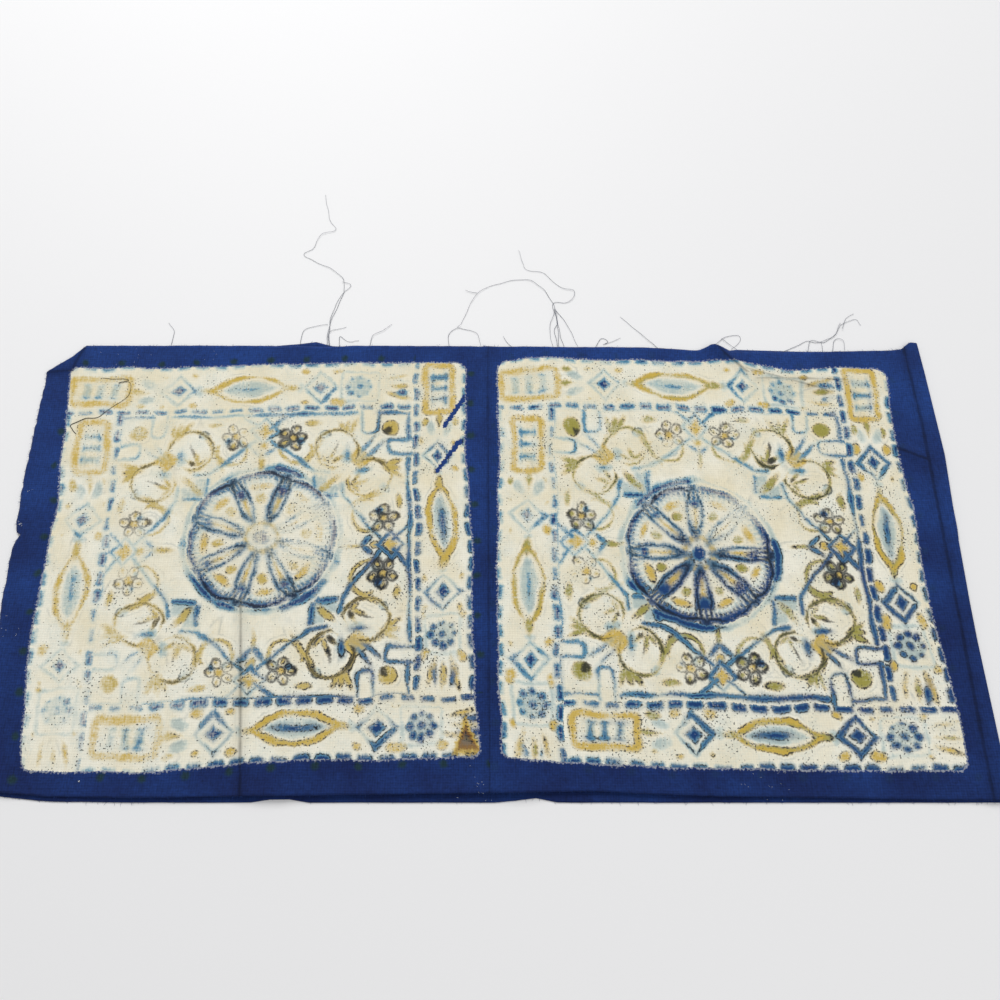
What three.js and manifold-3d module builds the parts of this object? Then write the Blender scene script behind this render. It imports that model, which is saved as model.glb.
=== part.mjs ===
// A hand block-printed cotton panel: one length of cloth folded once into two layers and laid flat,
// with the raw back edge ravelling into loose threads.
// Millimetres, +Z up. In the tables x runs to the right from between the two printed squares,
// and y runs back from the front edge of the lower layer.
import * as THREE from 'three';
import Module from 'manifold-3d';
import { mergeVertices } from 'three/addons/utils/BufferGeometryUtils.js';

const wasm = await Module();
wasm.setup();

// Driving sizes of the cloth
const SHEET = 1.0;              // thickness of one layer
const AIR = 0.8;                // air between the layers where they lie closest
const DEPTH = 460;              // width of the cloth, from the front edge to the back edge
const FOLD_RADIUS = 1.9;        // mid-line radius of the soft fold at the right
const FOLD_RISE = 42;           // length over which the upper layer comes down from the fold

// Driving sizes of the loose threads
const THREAD_WIDE = 1.0;
const THREAD_HIGH = 0.8;
const STRIP_WIDE = 1.2;         // sliver of edge that a group of threads grows from
const STRIP_GAP = 0.4;          // parting between that sliver and the cloth
const STRIP_PAST = 3;           // how far the sliver runs past its outer threads

// Mesh lines of the folded cloth
const ROWS = 22;                // from the front edge to the back edge
const LOWER_COLUMNS = 30;
const FOLD_COLUMNS = 6;
const UPPER_COLUMNS = 54;
const LINES_DRAWN_TO_EDGES = 0.6;

// Where each end of the cloth lies, along its width
const ENDS = [
  { y: 0, left: -449, right: 435 },
  { y: 45, left: -451, right: 436 },
  { y: 143, left: -456, right: 434 },
  { y: 176, left: -460, right: 434 },
  { y: 240, left: -461, right: 435 },
  { y: 258, left: -457, right: 436 },
  { y: 276, left: -462, right: 436 },
  { y: 332, left: -464, right: 438 },
  { y: 425, left: -463, right: 434 },
  { y: 460, left: -463, right: 432 },
];
const LOWER_SHORT = 6;          // how far the lower layer stops short of the upper at the left

// The front edge of each layer, along the length
const FRONT = [
  { x: -450, lower: 8, upper: 10 },
  { x: -428, lower: 5, upper: 8 },
  { x: -389, lower: 1, upper: 5 },
  { x: -316, lower: 0, upper: 3.5 },
  { x: -214, lower: 0, upper: 5 },
  { x: -187, lower: 4, upper: 5 },
  { x: -166, lower: 0, upper: 5.5 },
  { x: -45, lower: 0, upper: 7 },
  { x: 2, lower: 0, upper: 7.5 },
  { x: 30, lower: 4, upper: 8 },
  { x: 50, lower: 0, upper: 8.5 },
  { x: 80, lower: 0, upper: 9 },
  { x: 125, lower: 0, upper: 7 },
  { x: 178, lower: 0, upper: 5 },
  { x: 295, lower: 0, upper: 3.5 },
  { x: 366, lower: 0, upper: 2 },
  { x: 436, lower: 0, upper: 1.5 },
];

// The back edge of each layer, cut slantwise at the turned-in corner
const BACK = [
  { x: -463, lower: 421, upper: 425 },
  { x: -439, lower: 439, upper: 444 },
  { x: -428, lower: 452, upper: 457 },
  { x: -259, lower: 455, upper: 457 },
  { x: -206, lower: 460, upper: 456 },
  { x: -196, lower: 465, upper: 455 },
  { x: -183, lower: 458, upper: 455 },
  { x: -150, lower: 456, upper: 457 },
  { x: 150, lower: 452, upper: 455 },
  { x: 205, lower: 449, upper: 451 },
  { x: 220, lower: 449, upper: 457 },
  { x: 240, lower: 453, upper: 450 },
  { x: 299, lower: 451, upper: 449 },
  { x: 404, lower: 449, upper: 451 },
  { x: 414, lower: 450, upper: 452 },
  { x: 424, lower: 458, upper: 460 },
  { x: 436, lower: 457, upper: 459 },
];

// Places where the upper layer stands off the lower one
const LIFTS = [
  { x: -60, y: 0, wide: 240, deep: 36, high: 1.2 },
  { x: -200, y: 0, wide: 34, deep: 60, high: 2.4 },
  { x: 14, y: 0, wide: 32, deep: 64, high: 2.4 },
  { x: -452, y: 0, wide: 66, deep: 46, high: 2.4 },
  { x: -196, y: 460, wide: 30, deep: 34, high: 1.6 },
  { x: 221, y: 460, wide: 18, deep: 40, high: 3.6 },
  { x: 306, y: 412, wide: 74, deep: 26, high: 1.4 },
  { x: -118, y: 236, wide: 120, deep: 110, high: 1.0 },
  { x: 190, y: 150, wide: 130, deep: 90, high: 1.2 },
  { x: 300, y: 290, wide: 90, deep: 120, high: 0.8 },
];

// Soft creases, each running from one point to another
const CREASES = [
  { fromX: 411, fromY: 460, toX: 414, toY: 283, half: 8, high: 1.3 },
  { fromX: 414, fromY: 283, toX: 422, toY: 0, half: 8, high: 1.3 },
  { fromX: 390, fromY: 343, toX: 420, toY: 324, half: 8, high: 1.0 },
  { fromX: -13, fromY: 460, toX: -9, toY: 0, half: 12, high: 0.9 },
  { fromX: -239, fromY: 220, toX: -223, toY: 0, half: 10, high: 1.1 },
  { fromX: 219, fromY: 460, toX: 252, toY: 426, half: 10, high: 2.0 },
];

// The corner turned in at the back left, a flap of double cloth
const FLAP = { outerX: -463, outerY: 425, backX: -430, backY: 460, innerX: -439, innerY: 427, high: 1.5 };
const FLAP_EDGE = 5;            // width of the step down from the flap

// Loose threads, each a row of points from its root at the back edge
const THREADS = {
  ravelled_threads_1: [
    [[-342, 456], [-340, 474], [-347, 486]],
  ],
  ravelled_threads_2: [
    [[-180, 456], [-178, 485], [-166, 528], [-175, 550], [-211, 572], [-203, 582], [-195, 601],
      [-180, 607], [-187, 620], [-195, 656]],
    [[-173, 456], [-171, 490], [-160, 515], [-157, 534]],
    [[-190, 456], [-192, 472], [-201, 482]],
    [[-163, 456], [-165, 470], [-155, 474], [-147, 466]],
  ],
  ravelled_threads_3: [
    [[-135, 456], [-133, 470], [-122, 478], [-113, 485]],
  ],
  ravelled_threads_4: [
    [[-53, 456], [-53, 472], [-45, 482], [-38, 481]],
    [[-20, 456], [-24, 472], [-32, 477]],
  ],
  ravelled_threads_5: [
    [[57, 456], [56, 476], [59, 490], [55, 513], [41, 534], [26, 541], [3, 537], [-24, 523], [-41, 486]],
    [[65, 456], [65, 490], [72, 511], [79, 522], [65, 533], [47, 549], [29, 555], [24, 564], [20, 580]],
    [[49, 456], [51, 486]],
    [[79, 456], [73, 484]],
    [[12, 456], [3, 470]],
  ],
  ravelled_threads_6: [
    [[103, 454], [107, 466], [125, 469]],
  ],
  ravelled_threads_7: [
    [[162, 454], [150, 471], [126, 495]],
  ],
  ravelled_threads_8: [
    [[224, 454], [232, 468], [246, 472], [251, 464]],
  ],
  ravelled_threads_9: [
    [[294, 449], [301, 459], [328, 463], [346, 470], [358, 484], [372, 491], [379, 483]],
    [[343, 449], [349, 461], [358, 460]],
    [[321, 449], [325, 456]],
  ],
};
const THREAD_STEP = 6;          // length of one straight bit of a thread

const COTTON = { color: 0x26407f, roughness: 0.9, metalness: 0 };
const THREAD_COTTON = { color: 0x3a4560, roughness: 0.9, metalness: 0 };

const { clamp, lerp, smoothstep } = THREE.MathUtils;

// Reads a column of a table at a place along it, on the straight line between its two nearest rows
function readTable(rows, axis, at, column) {
  const next = clamp(rows.findIndex((row) => row[axis] >= at), 1, rows.length - 1);
  const upTo = at > rows[rows.length - 1][axis] ? rows.length - 1 : next;
  const a = rows[upTo - 1];
  const b = rows[upTo];
  const share = clamp((at - a[axis]) / (b[axis] - a[axis]), 0, 1);
  return lerp(a[column], b[column], share);
}

// Shares from 0 to 1 that lie closer together towards both ends
function edgedShares(count) {
  return Array.from({ length: count + 1 }, (_, k) => {
    const even = k / count;
    const drawn = 0.5 - 0.5 * Math.cos(Math.PI * even);
    return lerp(even, drawn, LINES_DRAWN_TO_EDGES);
  });
}

function liftHeight(lift, x, y) {
  const off = Math.hypot((x - lift.x) / lift.wide, (y - lift.y) / lift.deep);
  return lift.high * (1 - smoothstep(off, 0, 1));
}

function creaseHeight(crease, x, y) {
  const runX = crease.toX - crease.fromX;
  const runY = crease.toY - crease.fromY;
  const along = clamp(((x - crease.fromX) * runX + (y - crease.fromY) * runY) / (runX ** 2 + runY ** 2), 0, 1);
  const off = Math.hypot(x - crease.fromX - along * runX, y - crease.fromY - along * runY);
  return crease.high * (1 - smoothstep(off, 0, crease.half));
}

// How far a point lies inside the line from a to b, on its left-hand side
function insideLine(ax, ay, bx, by, x, y) {
  const length = Math.hypot(bx - ax, by - ay);
  return ((bx - ax) * (y - ay) - (by - ay) * (x - ax)) / length;
}

function flapHeight(x, y) {
  const fromInner = insideLine(FLAP.innerX, FLAP.innerY, FLAP.backX, FLAP.backY, x, y);
  const fromLower = insideLine(FLAP.outerX, FLAP.outerY, FLAP.innerX, FLAP.innerY, x, y);
  const inside = Math.min(fromInner, fromLower) + FLAP_EDGE;
  return FLAP.high * smoothstep(inside, 0, FLAP_EDGE);
}

// Mid-line height of the upper layer
function upperHeight(x, y, foldStart) {
  const lifts = LIFTS.reduce((sum, lift) => sum + liftHeight(lift, x, y), 0);
  const creases = CREASES.reduce((highest, crease) => Math.max(highest, creaseHeight(crease, x, y)), 0);
  const atRest = SHEET * 1.5 + AIR + lifts + creases + flapHeight(x, y);
  const atFold = SHEET / 2 + 2 * FOLD_RADIUS;
  return lerp(atFold, atRest, smoothstep(foldStart - x, 0, FOLD_RISE));
}

// The mid-line of the cloth at one row, from the lower layer's left end round the fold to the upper's
function sectionAt(share) {
  const y = share * DEPTH;
  const left = readTable(ENDS, 'y', y, 'left');
  const foldStart = readTable(ENDS, 'y', y, 'right') - FOLD_RADIUS - SHEET / 2;
  const place = (x, z, upper) => {
    const front = lerp(readTable(FRONT, 'x', x, 'lower'), readTable(FRONT, 'x', x, 'upper'), upper);
    const back = lerp(readTable(BACK, 'x', x, 'lower'), readTable(BACK, 'x', x, 'upper'), upper);
    return new THREE.Vector3(x, lerp(front, back, share), z);
  };
  const lower = edgedShares(LOWER_COLUMNS).map((a) => place(lerp(left + LOWER_SHORT, foldStart, a), SHEET / 2, 0));
  const fold = Array.from({ length: FOLD_COLUMNS - 1 }, (_, k) => {
    const turn = Math.PI * ((k + 1) / FOLD_COLUMNS - 0.5);
    const x = foldStart + FOLD_RADIUS * Math.cos(turn);
    const z = SHEET / 2 + FOLD_RADIUS * (1 + Math.sin(turn));
    return place(x, z, (1 + Math.sin(turn)) / 2);
  });
  const upper = edgedShares(UPPER_COLUMNS).map((a) => {
    const point = place(lerp(foldStart, left, a), 0, 1);
    point.z = upperHeight(point.x, point.y, foldStart);
    return point;
  });
  return [...lower, ...fold, ...upper];
}

// The outer and inner faces of a section, half the thickness to each side of its mid-line
function thicken(section) {
  return section.map((point, i) => {
    const before = section[Math.max(i - 1, 0)];
    const after = section[Math.min(i + 1, section.length - 1)];
    const run = Math.hypot(after.x - before.x, after.z - before.z);
    const half = new THREE.Vector3((after.z - before.z) / run, 0, (before.x - after.x) / run).multiplyScalar(SHEET / 2);
    // The lower layer is flat underneath, up to where the fold begins
    if (i <= LOWER_COLUMNS) half.set(0, 0, -SHEET / 2);
    return { outer: point.clone().add(half), inner: point.clone().sub(half) };
  });
}

// The folded cloth as one closed sheet, and the line that its back edge follows
function foldedCloth() {
  const rows = edgedShares(ROWS).map((share) => thicken(sectionAt(share)));
  const columns = rows[0].length;
  const positions = [];
  for (const side of ['outer', 'inner']) {
    for (const row of rows) {
      for (const point of row) positions.push(...point[side].toArray());
    }
  }
  const outer = (row, column) => row * columns + column;
  const inner = (row, column) => outer(row, column) + rows.length * columns;
  const triangles = [];
  const quad = (a, b, c, d) => triangles.push(a, b, c, a, c, d);
  for (let r = 0; r < ROWS; r += 1) {
    for (let c = 0; c < columns - 1; c += 1) {
      quad(outer(r, c), outer(r + 1, c), outer(r + 1, c + 1), outer(r, c + 1));
      quad(inner(r, c), inner(r, c + 1), inner(r + 1, c + 1), inner(r + 1, c));
    }
    quad(outer(r, 0), inner(r, 0), inner(r + 1, 0), outer(r + 1, 0));
    quad(outer(r, columns - 1), outer(r + 1, columns - 1), inner(r + 1, columns - 1), inner(r, columns - 1));
  }
  for (let c = 0; c < columns - 1; c += 1) {
    quad(outer(0, c), outer(0, c + 1), inner(0, c + 1), inner(0, c));
    quad(outer(ROWS, c), inner(ROWS, c), inner(ROWS, c + 1), outer(ROWS, c + 1));
  }
  const geometry = new THREE.BufferGeometry();
  geometry.setAttribute('position', new THREE.Float32BufferAttribute(positions, 3));
  geometry.setIndex(triangles);
  geometry.computeVertexNormals();
  return { geometry, backRim: rows[ROWS].map((point) => point.inner) };
}

// The furthest that either layer's back edge reaches at x
function rimReach(rim, x) {
  const crossings = rim.slice(1).map((point, i) => {
    const before = rim[i];
    const share = (x - before.x) / (point.x - before.x);
    return share >= 0 && share <= 1 ? lerp(before.y, point.y, share) : 0;
  });
  return Math.max(...crossings);
}

// A plan outline raised off the floor
function raise(outline, high) {
  const shape = new THREE.Shape(outline);
  const geometry = new THREE.ExtrudeGeometry(shape, { depth: high, bevelEnabled: false });
  geometry.deleteAttribute('normal');
  geometry.deleteAttribute('uv');
  const merged = mergeVertices(geometry);
  const vertProperties = new Float32Array(merged.attributes.position.array);
  const triVerts = new Uint32Array(merged.index.array);
  return new wasm.Manifold(new wasm.Mesh({ numProp: 3, vertProperties, triVerts }));
}

// One loose thread, four-sided and level on the floor
function thread(points) {
  const curve = new THREE.CatmullRomCurve3(points.map(([x, y]) => new THREE.Vector3(x, y, 0)));
  const steps = Math.max(2, Math.round(curve.getLength() / THREAD_STEP));
  const left = [];
  const right = [];
  for (let k = 0; k <= steps; k += 1) {
    const at = curve.getPointAt(k / steps);
    const heading = curve.getTangentAt(k / steps);
    const aside = new THREE.Vector2(-heading.y, heading.x).multiplyScalar(THREAD_WIDE / 2);
    left.push(new THREE.Vector2(at.x + aside.x, at.y + aside.y));
    right.unshift(new THREE.Vector2(at.x - aside.x, at.y - aside.y));
  }
  return raise([...right, ...left].reverse(), THREAD_HIGH);
}

// A group of threads whose roots are fused in a sliver of cloth just behind the back edge
function threadGroup(threads, rim) {
  const rootsX = threads.map(([root]) => root[0]);
  const from = Math.min(...rootsX) - STRIP_PAST;
  const to = Math.max(...rootsX) + STRIP_PAST;
  const stops = [from, ...rim.map((point) => point.x).filter((x) => x > from && x < to), to];
  const near = stops.sort((a, b) => a - b).map((x) => new THREE.Vector2(x, rimReach(rim, x) + STRIP_GAP));
  const far = near.map((point) => new THREE.Vector2(point.x, point.y + STRIP_WIDE)).reverse();
  let group = raise([...near, ...far], SHEET);
  for (const points of threads) {
    const [rootX] = points[0];
    const rootY = rimReach(rim, rootX) + STRIP_GAP + STRIP_WIDE / 2;
    group = group.add(thread([[rootX, rootY], ...points.slice(1)]));
  }
  const mesh = group.getMesh();
  const geometry = new THREE.BufferGeometry();
  geometry.setAttribute('position', new THREE.BufferAttribute(new Float32Array(mesh.vertProperties), 3));
  geometry.setIndex(new THREE.BufferAttribute(new Uint32Array(mesh.triVerts), 1));
  geometry.computeVertexNormals();
  return geometry;
}

function named(name, geometry, finish) {
  const mesh = new THREE.Mesh(geometry, new THREE.MeshStandardMaterial(finish));
  mesh.name = name;
  return mesh;
}

const panel = new THREE.Group();
const cloth = foldedCloth();
panel.add(named('folded_cloth', cloth.geometry, COTTON));
for (const [name, threads] of Object.entries(THREADS)) {
  panel.add(named(name, threadGroup(threads, cloth.backRim), THREAD_COTTON));
}

// The origin is under the middle of all that is built, on the surface that it lies on
const reach = new THREE.Box3().setFromObject(panel);
const middle = reach.getCenter(new THREE.Vector3());
panel.position.set(-middle.x, -middle.y, -reach.min.z);

export default panel;
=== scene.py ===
"""A hand block-printed cotton panel, folded once and laid flat, with threads ravelling from its back."""

import functools
import math

import bpy
import numpy as np
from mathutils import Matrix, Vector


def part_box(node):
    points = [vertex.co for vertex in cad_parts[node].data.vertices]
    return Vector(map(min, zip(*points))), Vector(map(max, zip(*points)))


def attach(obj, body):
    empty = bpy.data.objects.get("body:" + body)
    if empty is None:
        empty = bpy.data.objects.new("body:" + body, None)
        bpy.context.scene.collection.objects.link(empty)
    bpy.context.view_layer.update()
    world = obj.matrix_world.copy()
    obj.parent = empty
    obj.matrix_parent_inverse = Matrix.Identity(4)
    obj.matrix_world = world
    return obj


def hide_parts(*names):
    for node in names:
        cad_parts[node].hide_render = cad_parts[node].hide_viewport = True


bl_info = {
    "name": "Block-printed cotton panel",
    "version": (1, 0, 0),
    "blender": (4, 5, 0),
    "location": "View3D > Sidebar > Cotton Panel",
    "description": "Builds a folded, hand block-printed cotton panel and its loose threads",
    "category": "Add Mesh",
}

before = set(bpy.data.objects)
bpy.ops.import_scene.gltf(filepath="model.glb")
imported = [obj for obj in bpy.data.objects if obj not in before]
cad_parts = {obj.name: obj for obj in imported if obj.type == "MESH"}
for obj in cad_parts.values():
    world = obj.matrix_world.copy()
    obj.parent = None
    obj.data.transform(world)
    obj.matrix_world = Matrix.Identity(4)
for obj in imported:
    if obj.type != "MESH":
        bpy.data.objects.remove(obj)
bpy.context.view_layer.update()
CLOTH_LOWEST, CLOTH_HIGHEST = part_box("folded_cloth")

MM = 0.001


def table(columns, *rows):
    """Rows of a table, each with the names of its columns."""
    return [dict(zip(columns.split(), row)) for row in rows]


# The plan that the tables are drawn on, in millimetres: x runs right from between the printed
# squares, y runs back from the front edge, and these tie it to the frame.
PLAN_RIGHT = 438.0
PLAN_X = CLOTH_HIGHEST[0] - PLAN_RIGHT * MM
PLAN_Y = CLOTH_LOWEST[1]
DEPTH = 460.0

# Where each raw or folded end of the cloth lies, along its width
ENDS = table("y left right",
    (0, -449, 435), (45, -451, 436), (143, -456, 434), (176, -460, 434), (240, -461, 435),
    (252, -460, 436), (258, -456, 436), (264, -461, 436), (276, -462, 436), (332, -464, 438),
    (425, -463, 434), (460, -463, 432))
LOWER_SHORT = 6.0

# The front edge of each layer, along the length
FRONT = table("x lower upper",
    (-450, 8, 10), (-428, 5, 8), (-389, 1, 5), (-316, 0, 3.5), (-214, 0, 5), (-187, 4, 5), (-166, 0, 5.5),
    (-45, 0, 7), (2, 0, 7.5), (30, 4, 8), (50, 0, 8.5), (80, 0, 9), (125, 0, 7), (178, 0, 5),
    (295, 0, 3.5), (366, 0, 2), (436, 0, 1.5))

# The back edge of each layer, cut slantwise at the turned-in corner
BACK = table("x lower upper",
    (-463, 421, 425), (-439, 439, 444), (-428, 452, 457), (-259, 455, 457), (-206, 460, 456),
    (-196, 465, 455), (-183, 458, 455), (-150, 456, 457), (150, 452, 455), (205, 449, 451),
    (220, 449, 457), (240, 453, 450), (299, 451, 449), (404, 449, 451), (414, 450, 452), (424, 458, 460),
    (436, 457, 459))

# Places where the upper layer stands off the lower one
LIFTS = table("x y wide deep high",
    (-40, 0, 460, 26, 2.8), (-200, 0, 34, 60, 1.8), (14, 0, 32, 64, 1.8), (-452, 0, 66, 46, 2.2),
    (-196, 460, 30, 34, 1.6), (221, 460, 18, 40, 3.4), (306, 412, 74, 26, 1.4),
    (-118, 236, 120, 110, 0.9), (190, 150, 130, 90, 1.1), (300, 290, 90, 120, 0.7))

# Soft creases, each running from one point to another: a ridge, with a sharp groove along its middle
# The cloth's material also paints shade along these creases
CREASES = table("start end half high groove",
    ((417, 453), (418, 424), 7, 1.1, 0.9), ((418, 424), (421, 362), 7, 1.2, 1.0),
    ((421, 362), (421, 0), 7, 1.2, 1.0), ((392, 338), (421, 325), 9, 1.6, 0.9),
    ((-13, 460), (-9, 0), 10, 0.9, 0.1), ((-240, 181), (-236, 143), 6, 0.6, 0.6),
    ((-236, 143), (-222, 0), 6, 0.8, 0.8), ((219, 460), (252, 426), 8, 1.8, 0.6),
    ((252, 430), (330, 404), 6, 0.7, 0), ((262, 418), (352, 416), 5, 0.6, 0),
    ((-430, 460), (-439, 427), 4, 0.5, 1.2), ((-439, 427), (-463, 425), 4, 0.5, 0.8))
GROOVE_HALF = 2.0
# Share of its brightness the cloth keeps along the middle of each crease, where shade is painted
CREASE_SHADE_KEEPS = 0.5

# The corner turned in at the back left, a flap of double cloth
FLAP = dict(outer=(-463, 425), back=(-430, 460), inner=(-439, 427), high=1.1, edge=3.0)

# The two printed squares: their corners on the plan, and, in millimetres from each one's middle, where
# the blocks of its field and of its medallion were put down, and how far the medallion is turned
SQUARES = [
    dict(front_left=(-417, 28), front_right=(-19, 39), back_left=(-436, 429), back_right=(-31, 439),
         field=(-3.5, -2), medallion=(0, 9), turn=27),
    dict(front_left=(2, 36), front_right=(404, 26), back_left=(-2, 434), back_right=(395, 429),
         field=(-2.5, 3.5), medallion=(-12, -4), turn=0),
]
SQUARE = 400.0
SQUARE_ROUNDING = 9.0
# How far the print reaches past each side of its square, at places along the side, left square first
PRINT_EDGES = [
    table("at back front left right",
          (-200, 0.5, 2.0, -3.0, 1.0), (-150, -0.5, 3.0, 0.0, -2.0), (-100, -3.0, 5.5, 4.0, -3.0),
          (-50, -2.0, 3.5, 2.5, -3.0), (0, 0.0, 0.0, 0.0, -1.0), (50, -0.5, -1.5, -3.0, -5.0),
          (100, -0.5, 0.0, -1.0, -7.5), (150, -1.5, 0.0, 1.0, -6.0), (200, -2.5, 1.0, 2.0, -5.0)),
    table("at back front left right",
          (-200, 2.0, -2.0, 0.0, 0.0), (-150, 9.0, 0.5, 0.5, 0.5), (-100, 7.0, 2.0, 2.5, -2.0),
          (-50, 7.5, 2.5, 2.0, -4.0), (0, 5.0, 2.0, 1.5, -4.0), (50, 6.5, 2.5, 0.5, -2.5),
          (100, -4.5, 1.5, -1.5, -5.0), (150, 0.0, 0.0, 0.0, -4.5), (200, -1.0, -0.5, 0.0, -2.0)),
]
EDGE_REACH = 90.0
SQUARES_APART = 1000.0
UNPRINTED = -3000.0

# Loose threads of each ravelled group, as points on the plan from the root outwards
THREADS = [
    [[(-342, 455), (-340, 474), (-347, 486)]],
    [
        [(-180, 455), (-178, 485), (-166, 528), (-175, 550), (-211, 572), (-203, 582), (-195, 601),
         (-180, 607), (-187, 620), (-195, 655)],
        [(-177, 455), (-178, 490), (-169, 520), (-159, 533), (-169, 538)],
        [(-207, 457), (-206, 474), (-197, 481), (-180, 484)],
        [(-177, 457), (-178, 474), (-161, 481)],
        [(-166, 455), (-167, 469), (-157, 463), (-147, 464)],
    ],
    [[(-135, 455), (-133, 469), (-122, 477), (-113, 484)]],
    [
        [(-53, 455), (-53, 472), (-45, 480), (-38, 478), (-24, 473), (-20, 457)],
        [(-45, 480), (-41, 484)],
    ],
    [
        [(60, 455), (57, 476), (60, 488), (55, 513), (41, 534), (26, 541), (3, 537), (-24, 523),
         (-41, 484)],
        [(61, 455), (60, 486), (56, 510), (69, 511), (77, 517), (78, 527), (63, 532), (47, 549),
         (28, 554), (25, 562), (20, 579)],
        [(58, 503), (52, 478), (55, 456)],
        [(58, 503), (70, 484), (81, 456)],
        [(66, 456), (62, 476), (59, 500)],
        [(12, 456), (3, 469)],
        [(-24, 523), (-37, 527)],
    ],
    [[(98, 455), (106, 467), (112, 463), (107, 459), (125, 467)]],
    [[(165, 453), (150, 469), (126, 494)]],
    [
        [(219, 456), (236, 469), (248, 470), (250, 464), (239, 453)],
        [(230, 466), (240, 458), (245, 453)],
    ],
    [
        [(291, 450), (303, 455), (318, 463), (330, 462), (347, 469), (358, 484), (373, 490), (378, 483)],
        [(317, 450), (324, 464), (337, 462), (349, 472), (357, 486)],
        [(343, 450), (348, 464), (356, 465), (357, 451)],
        [(333, 450), (334, 462)],
        [(357, 478), (364, 492), (372, 497)],
    ],
]
THREAD_RADIUS = 0.2
# The stray thread that lies on the printed side, near the turned-in corner
STRAY_THREAD = [(-405, 418), (-397, 417), (-378, 416), (-388, 412), (-377, 413), (-375, 399), (-382, 391),
                (-394, 381), (-402, 373), (-415, 371), (-428, 364), (-427, 360), (-421, 354)]

# Pale lint on the dyed ground: how many fibres lie round each place
LINT = table("at count spread length thick",
    ((-362.5, 17.4), 3, 0.3, 1.6, 0.35), ((-458, 256), 6, 1.6, 2.2, 0.12),
    ((-455, 292), 3, 2.0, 1.8, 0.12), ((-380, 446), 14, 14, 1.2, 0.1), ((-300, 447), 10, 12, 1.2, 0.1),
    ((-20, 14), 12, 9, 1.1, 0.1), ((230, 14), 14, 10, 1.1, 0.1), ((-448, 150), 10, 7, 1.2, 0.1))

# The stage's floor and lamps, in metres and watts, and the strength of the light of its pale room
FLOOR_SIZE = 12
LAMPS = table("name place size power",
    ("window_light", (-0.8, 3.2, 2.9), 2.2, 128), ("fill_light", (0.9, -1.2, 1.8), 2.0, 9))
ROOM_LIGHT = 0.46

# Mesh lines of the folded cloth
ROWS = 120
LOWER_COLUMNS = 60
FOLD_COLUMNS = 12
UPPER_COLUMNS = 284
DRAWN_TO_EDGES = 0.4
# Where on the upper layer, as a share of its length from the fold, its columns lie closer together
CLOSER_COLUMNS = table("at reach",
    (0.0155, 0.006), (0.4985, 0.005), (0.748, 0.01))


def linear(code):
    """Linear colour, as Blender uses it, of an sRGB hex value."""
    shares = [int(code[k:k + 2], 16) / 255 for k in (1, 3, 5)]
    return [s / 12.92 if s <= 0.04045 else ((s + 0.055) / 1.055) ** 2.4 for s in shares]


def colour_property(name, description, code):
    return bpy.props.FloatVectorProperty(
        name=name, description=description, default=linear(code), size=3, min=0, max=1, subtype="COLOR")


def length_property(name, description, metres):
    return bpy.props.FloatProperty(name=name, description=description, default=metres, min=0, unit="LENGTH")


class ClothSizes(bpy.types.PropertyGroup):
    """Sizes of the folded cloth"""
    sheet: length_property("Sheet", "Thickness of one layer of the cotton", 0.5 * MM)
    air: length_property("Air", "Air between the layers where they lie closest", 0.6 * MM)
    fold_radius: length_property("Fold radius", "Mid-line radius of the soft fold", 1.5 * MM)
    fold_rise: length_property("Fold rise", "Length over which the upper layer comes down", 40 * MM)
    ripple: length_property("Ripple", "Height of the cloth's slight unevenness", 0.35 * MM)
    ravel: length_property("Ravel", "How far the raw ends are uneven", 0.9 * MM)


class ClothColours(bpy.types.PropertyGroup):
    """Dyes and inks of the cloth"""
    ground: colour_property("Ground", "Dyed blue ground, where it is lightest", "#1B3A78")
    ground_deep: colour_property("Deep ground", "Dyed blue ground, where it is deepest", "#122353")
    overprint: colour_property("Overprint", "Olive ink on the dyed ground", "#1B3338")
    cream: colour_property("Cream", "Undyed cotton of the printed squares", "#EBE8D8")
    cream_deep: colour_property("Aged cream", "Undyed cotton where it has yellowed", "#E3DABE")
    mustard: colour_property("Mustard", "Mustard ink", "#C8AB4E")
    olive: colour_property("Olive", "Olive ink", "#8F8E48")
    pale_blue: colour_property("Pale blue", "Thin blue ink", "#A2C0C4")
    mid_blue: colour_property("Mid blue", "Blue ink", "#528BA8")
    dark_blue: colour_property("Dark blue", "Blue ink where it lies thick", "#1C3E70")
    teal: colour_property("Teal", "Greenish thin blue ink", "#8BABB0")
    slate: colour_property("Slate", "Faint second outlines", "#7E8E92")
    stain: colour_property("Stain", "Rust-brown stain in one corner", "#80591E")
    black: colour_property("Black", "Specks and outlines of black ink", "#20262C")
    thread: colour_property("Thread", "Loose thread", "#363F55")
    stray: colour_property("Stray thread", "Stray thread on the print", "#26241F")
    lint: colour_property("Lint", "Pale frayed fibres", "#D8DDE0")


class StageSettings(bpy.types.PropertyGroup):
    """Camera, light and floor"""
    camera_height: length_property("Camera height", "Height of the camera over the cloth", 896 * MM)
    camera_back: length_property("Camera back", "How far in front of the cloth the camera stands", 116 * MM)
    pitch: bpy.props.FloatProperty(
        name="Pitch", description="Angle of the camera below the horizontal", default=math.radians(66),
        subtype="ANGLE")
    focal_share: bpy.props.FloatProperty(
        name="Focal share", description="Focal length as a share of the picture's width", default=1.014)
    floor: colour_property("Floor", "Plain pale surface", "#EDEDEE")


def smooth(share):
    share = np.clip(share, 0, 1)
    return share * share * (3 - 2 * share)


def read_table(rows, axis, at, column):
    """A column of a table at places along it, on the straight line between its nearest rows."""
    return np.interp(at, [row[axis] for row in rows], [row[column] for row in rows])


def edged_shares(count):
    """Shares from 0 to 1 that lie closer together towards both ends."""
    even = np.linspace(0, 1, count + 1)
    return even + DRAWN_TO_EDGES * (0.5 - 0.5 * np.cos(np.pi * even) - even)


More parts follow.
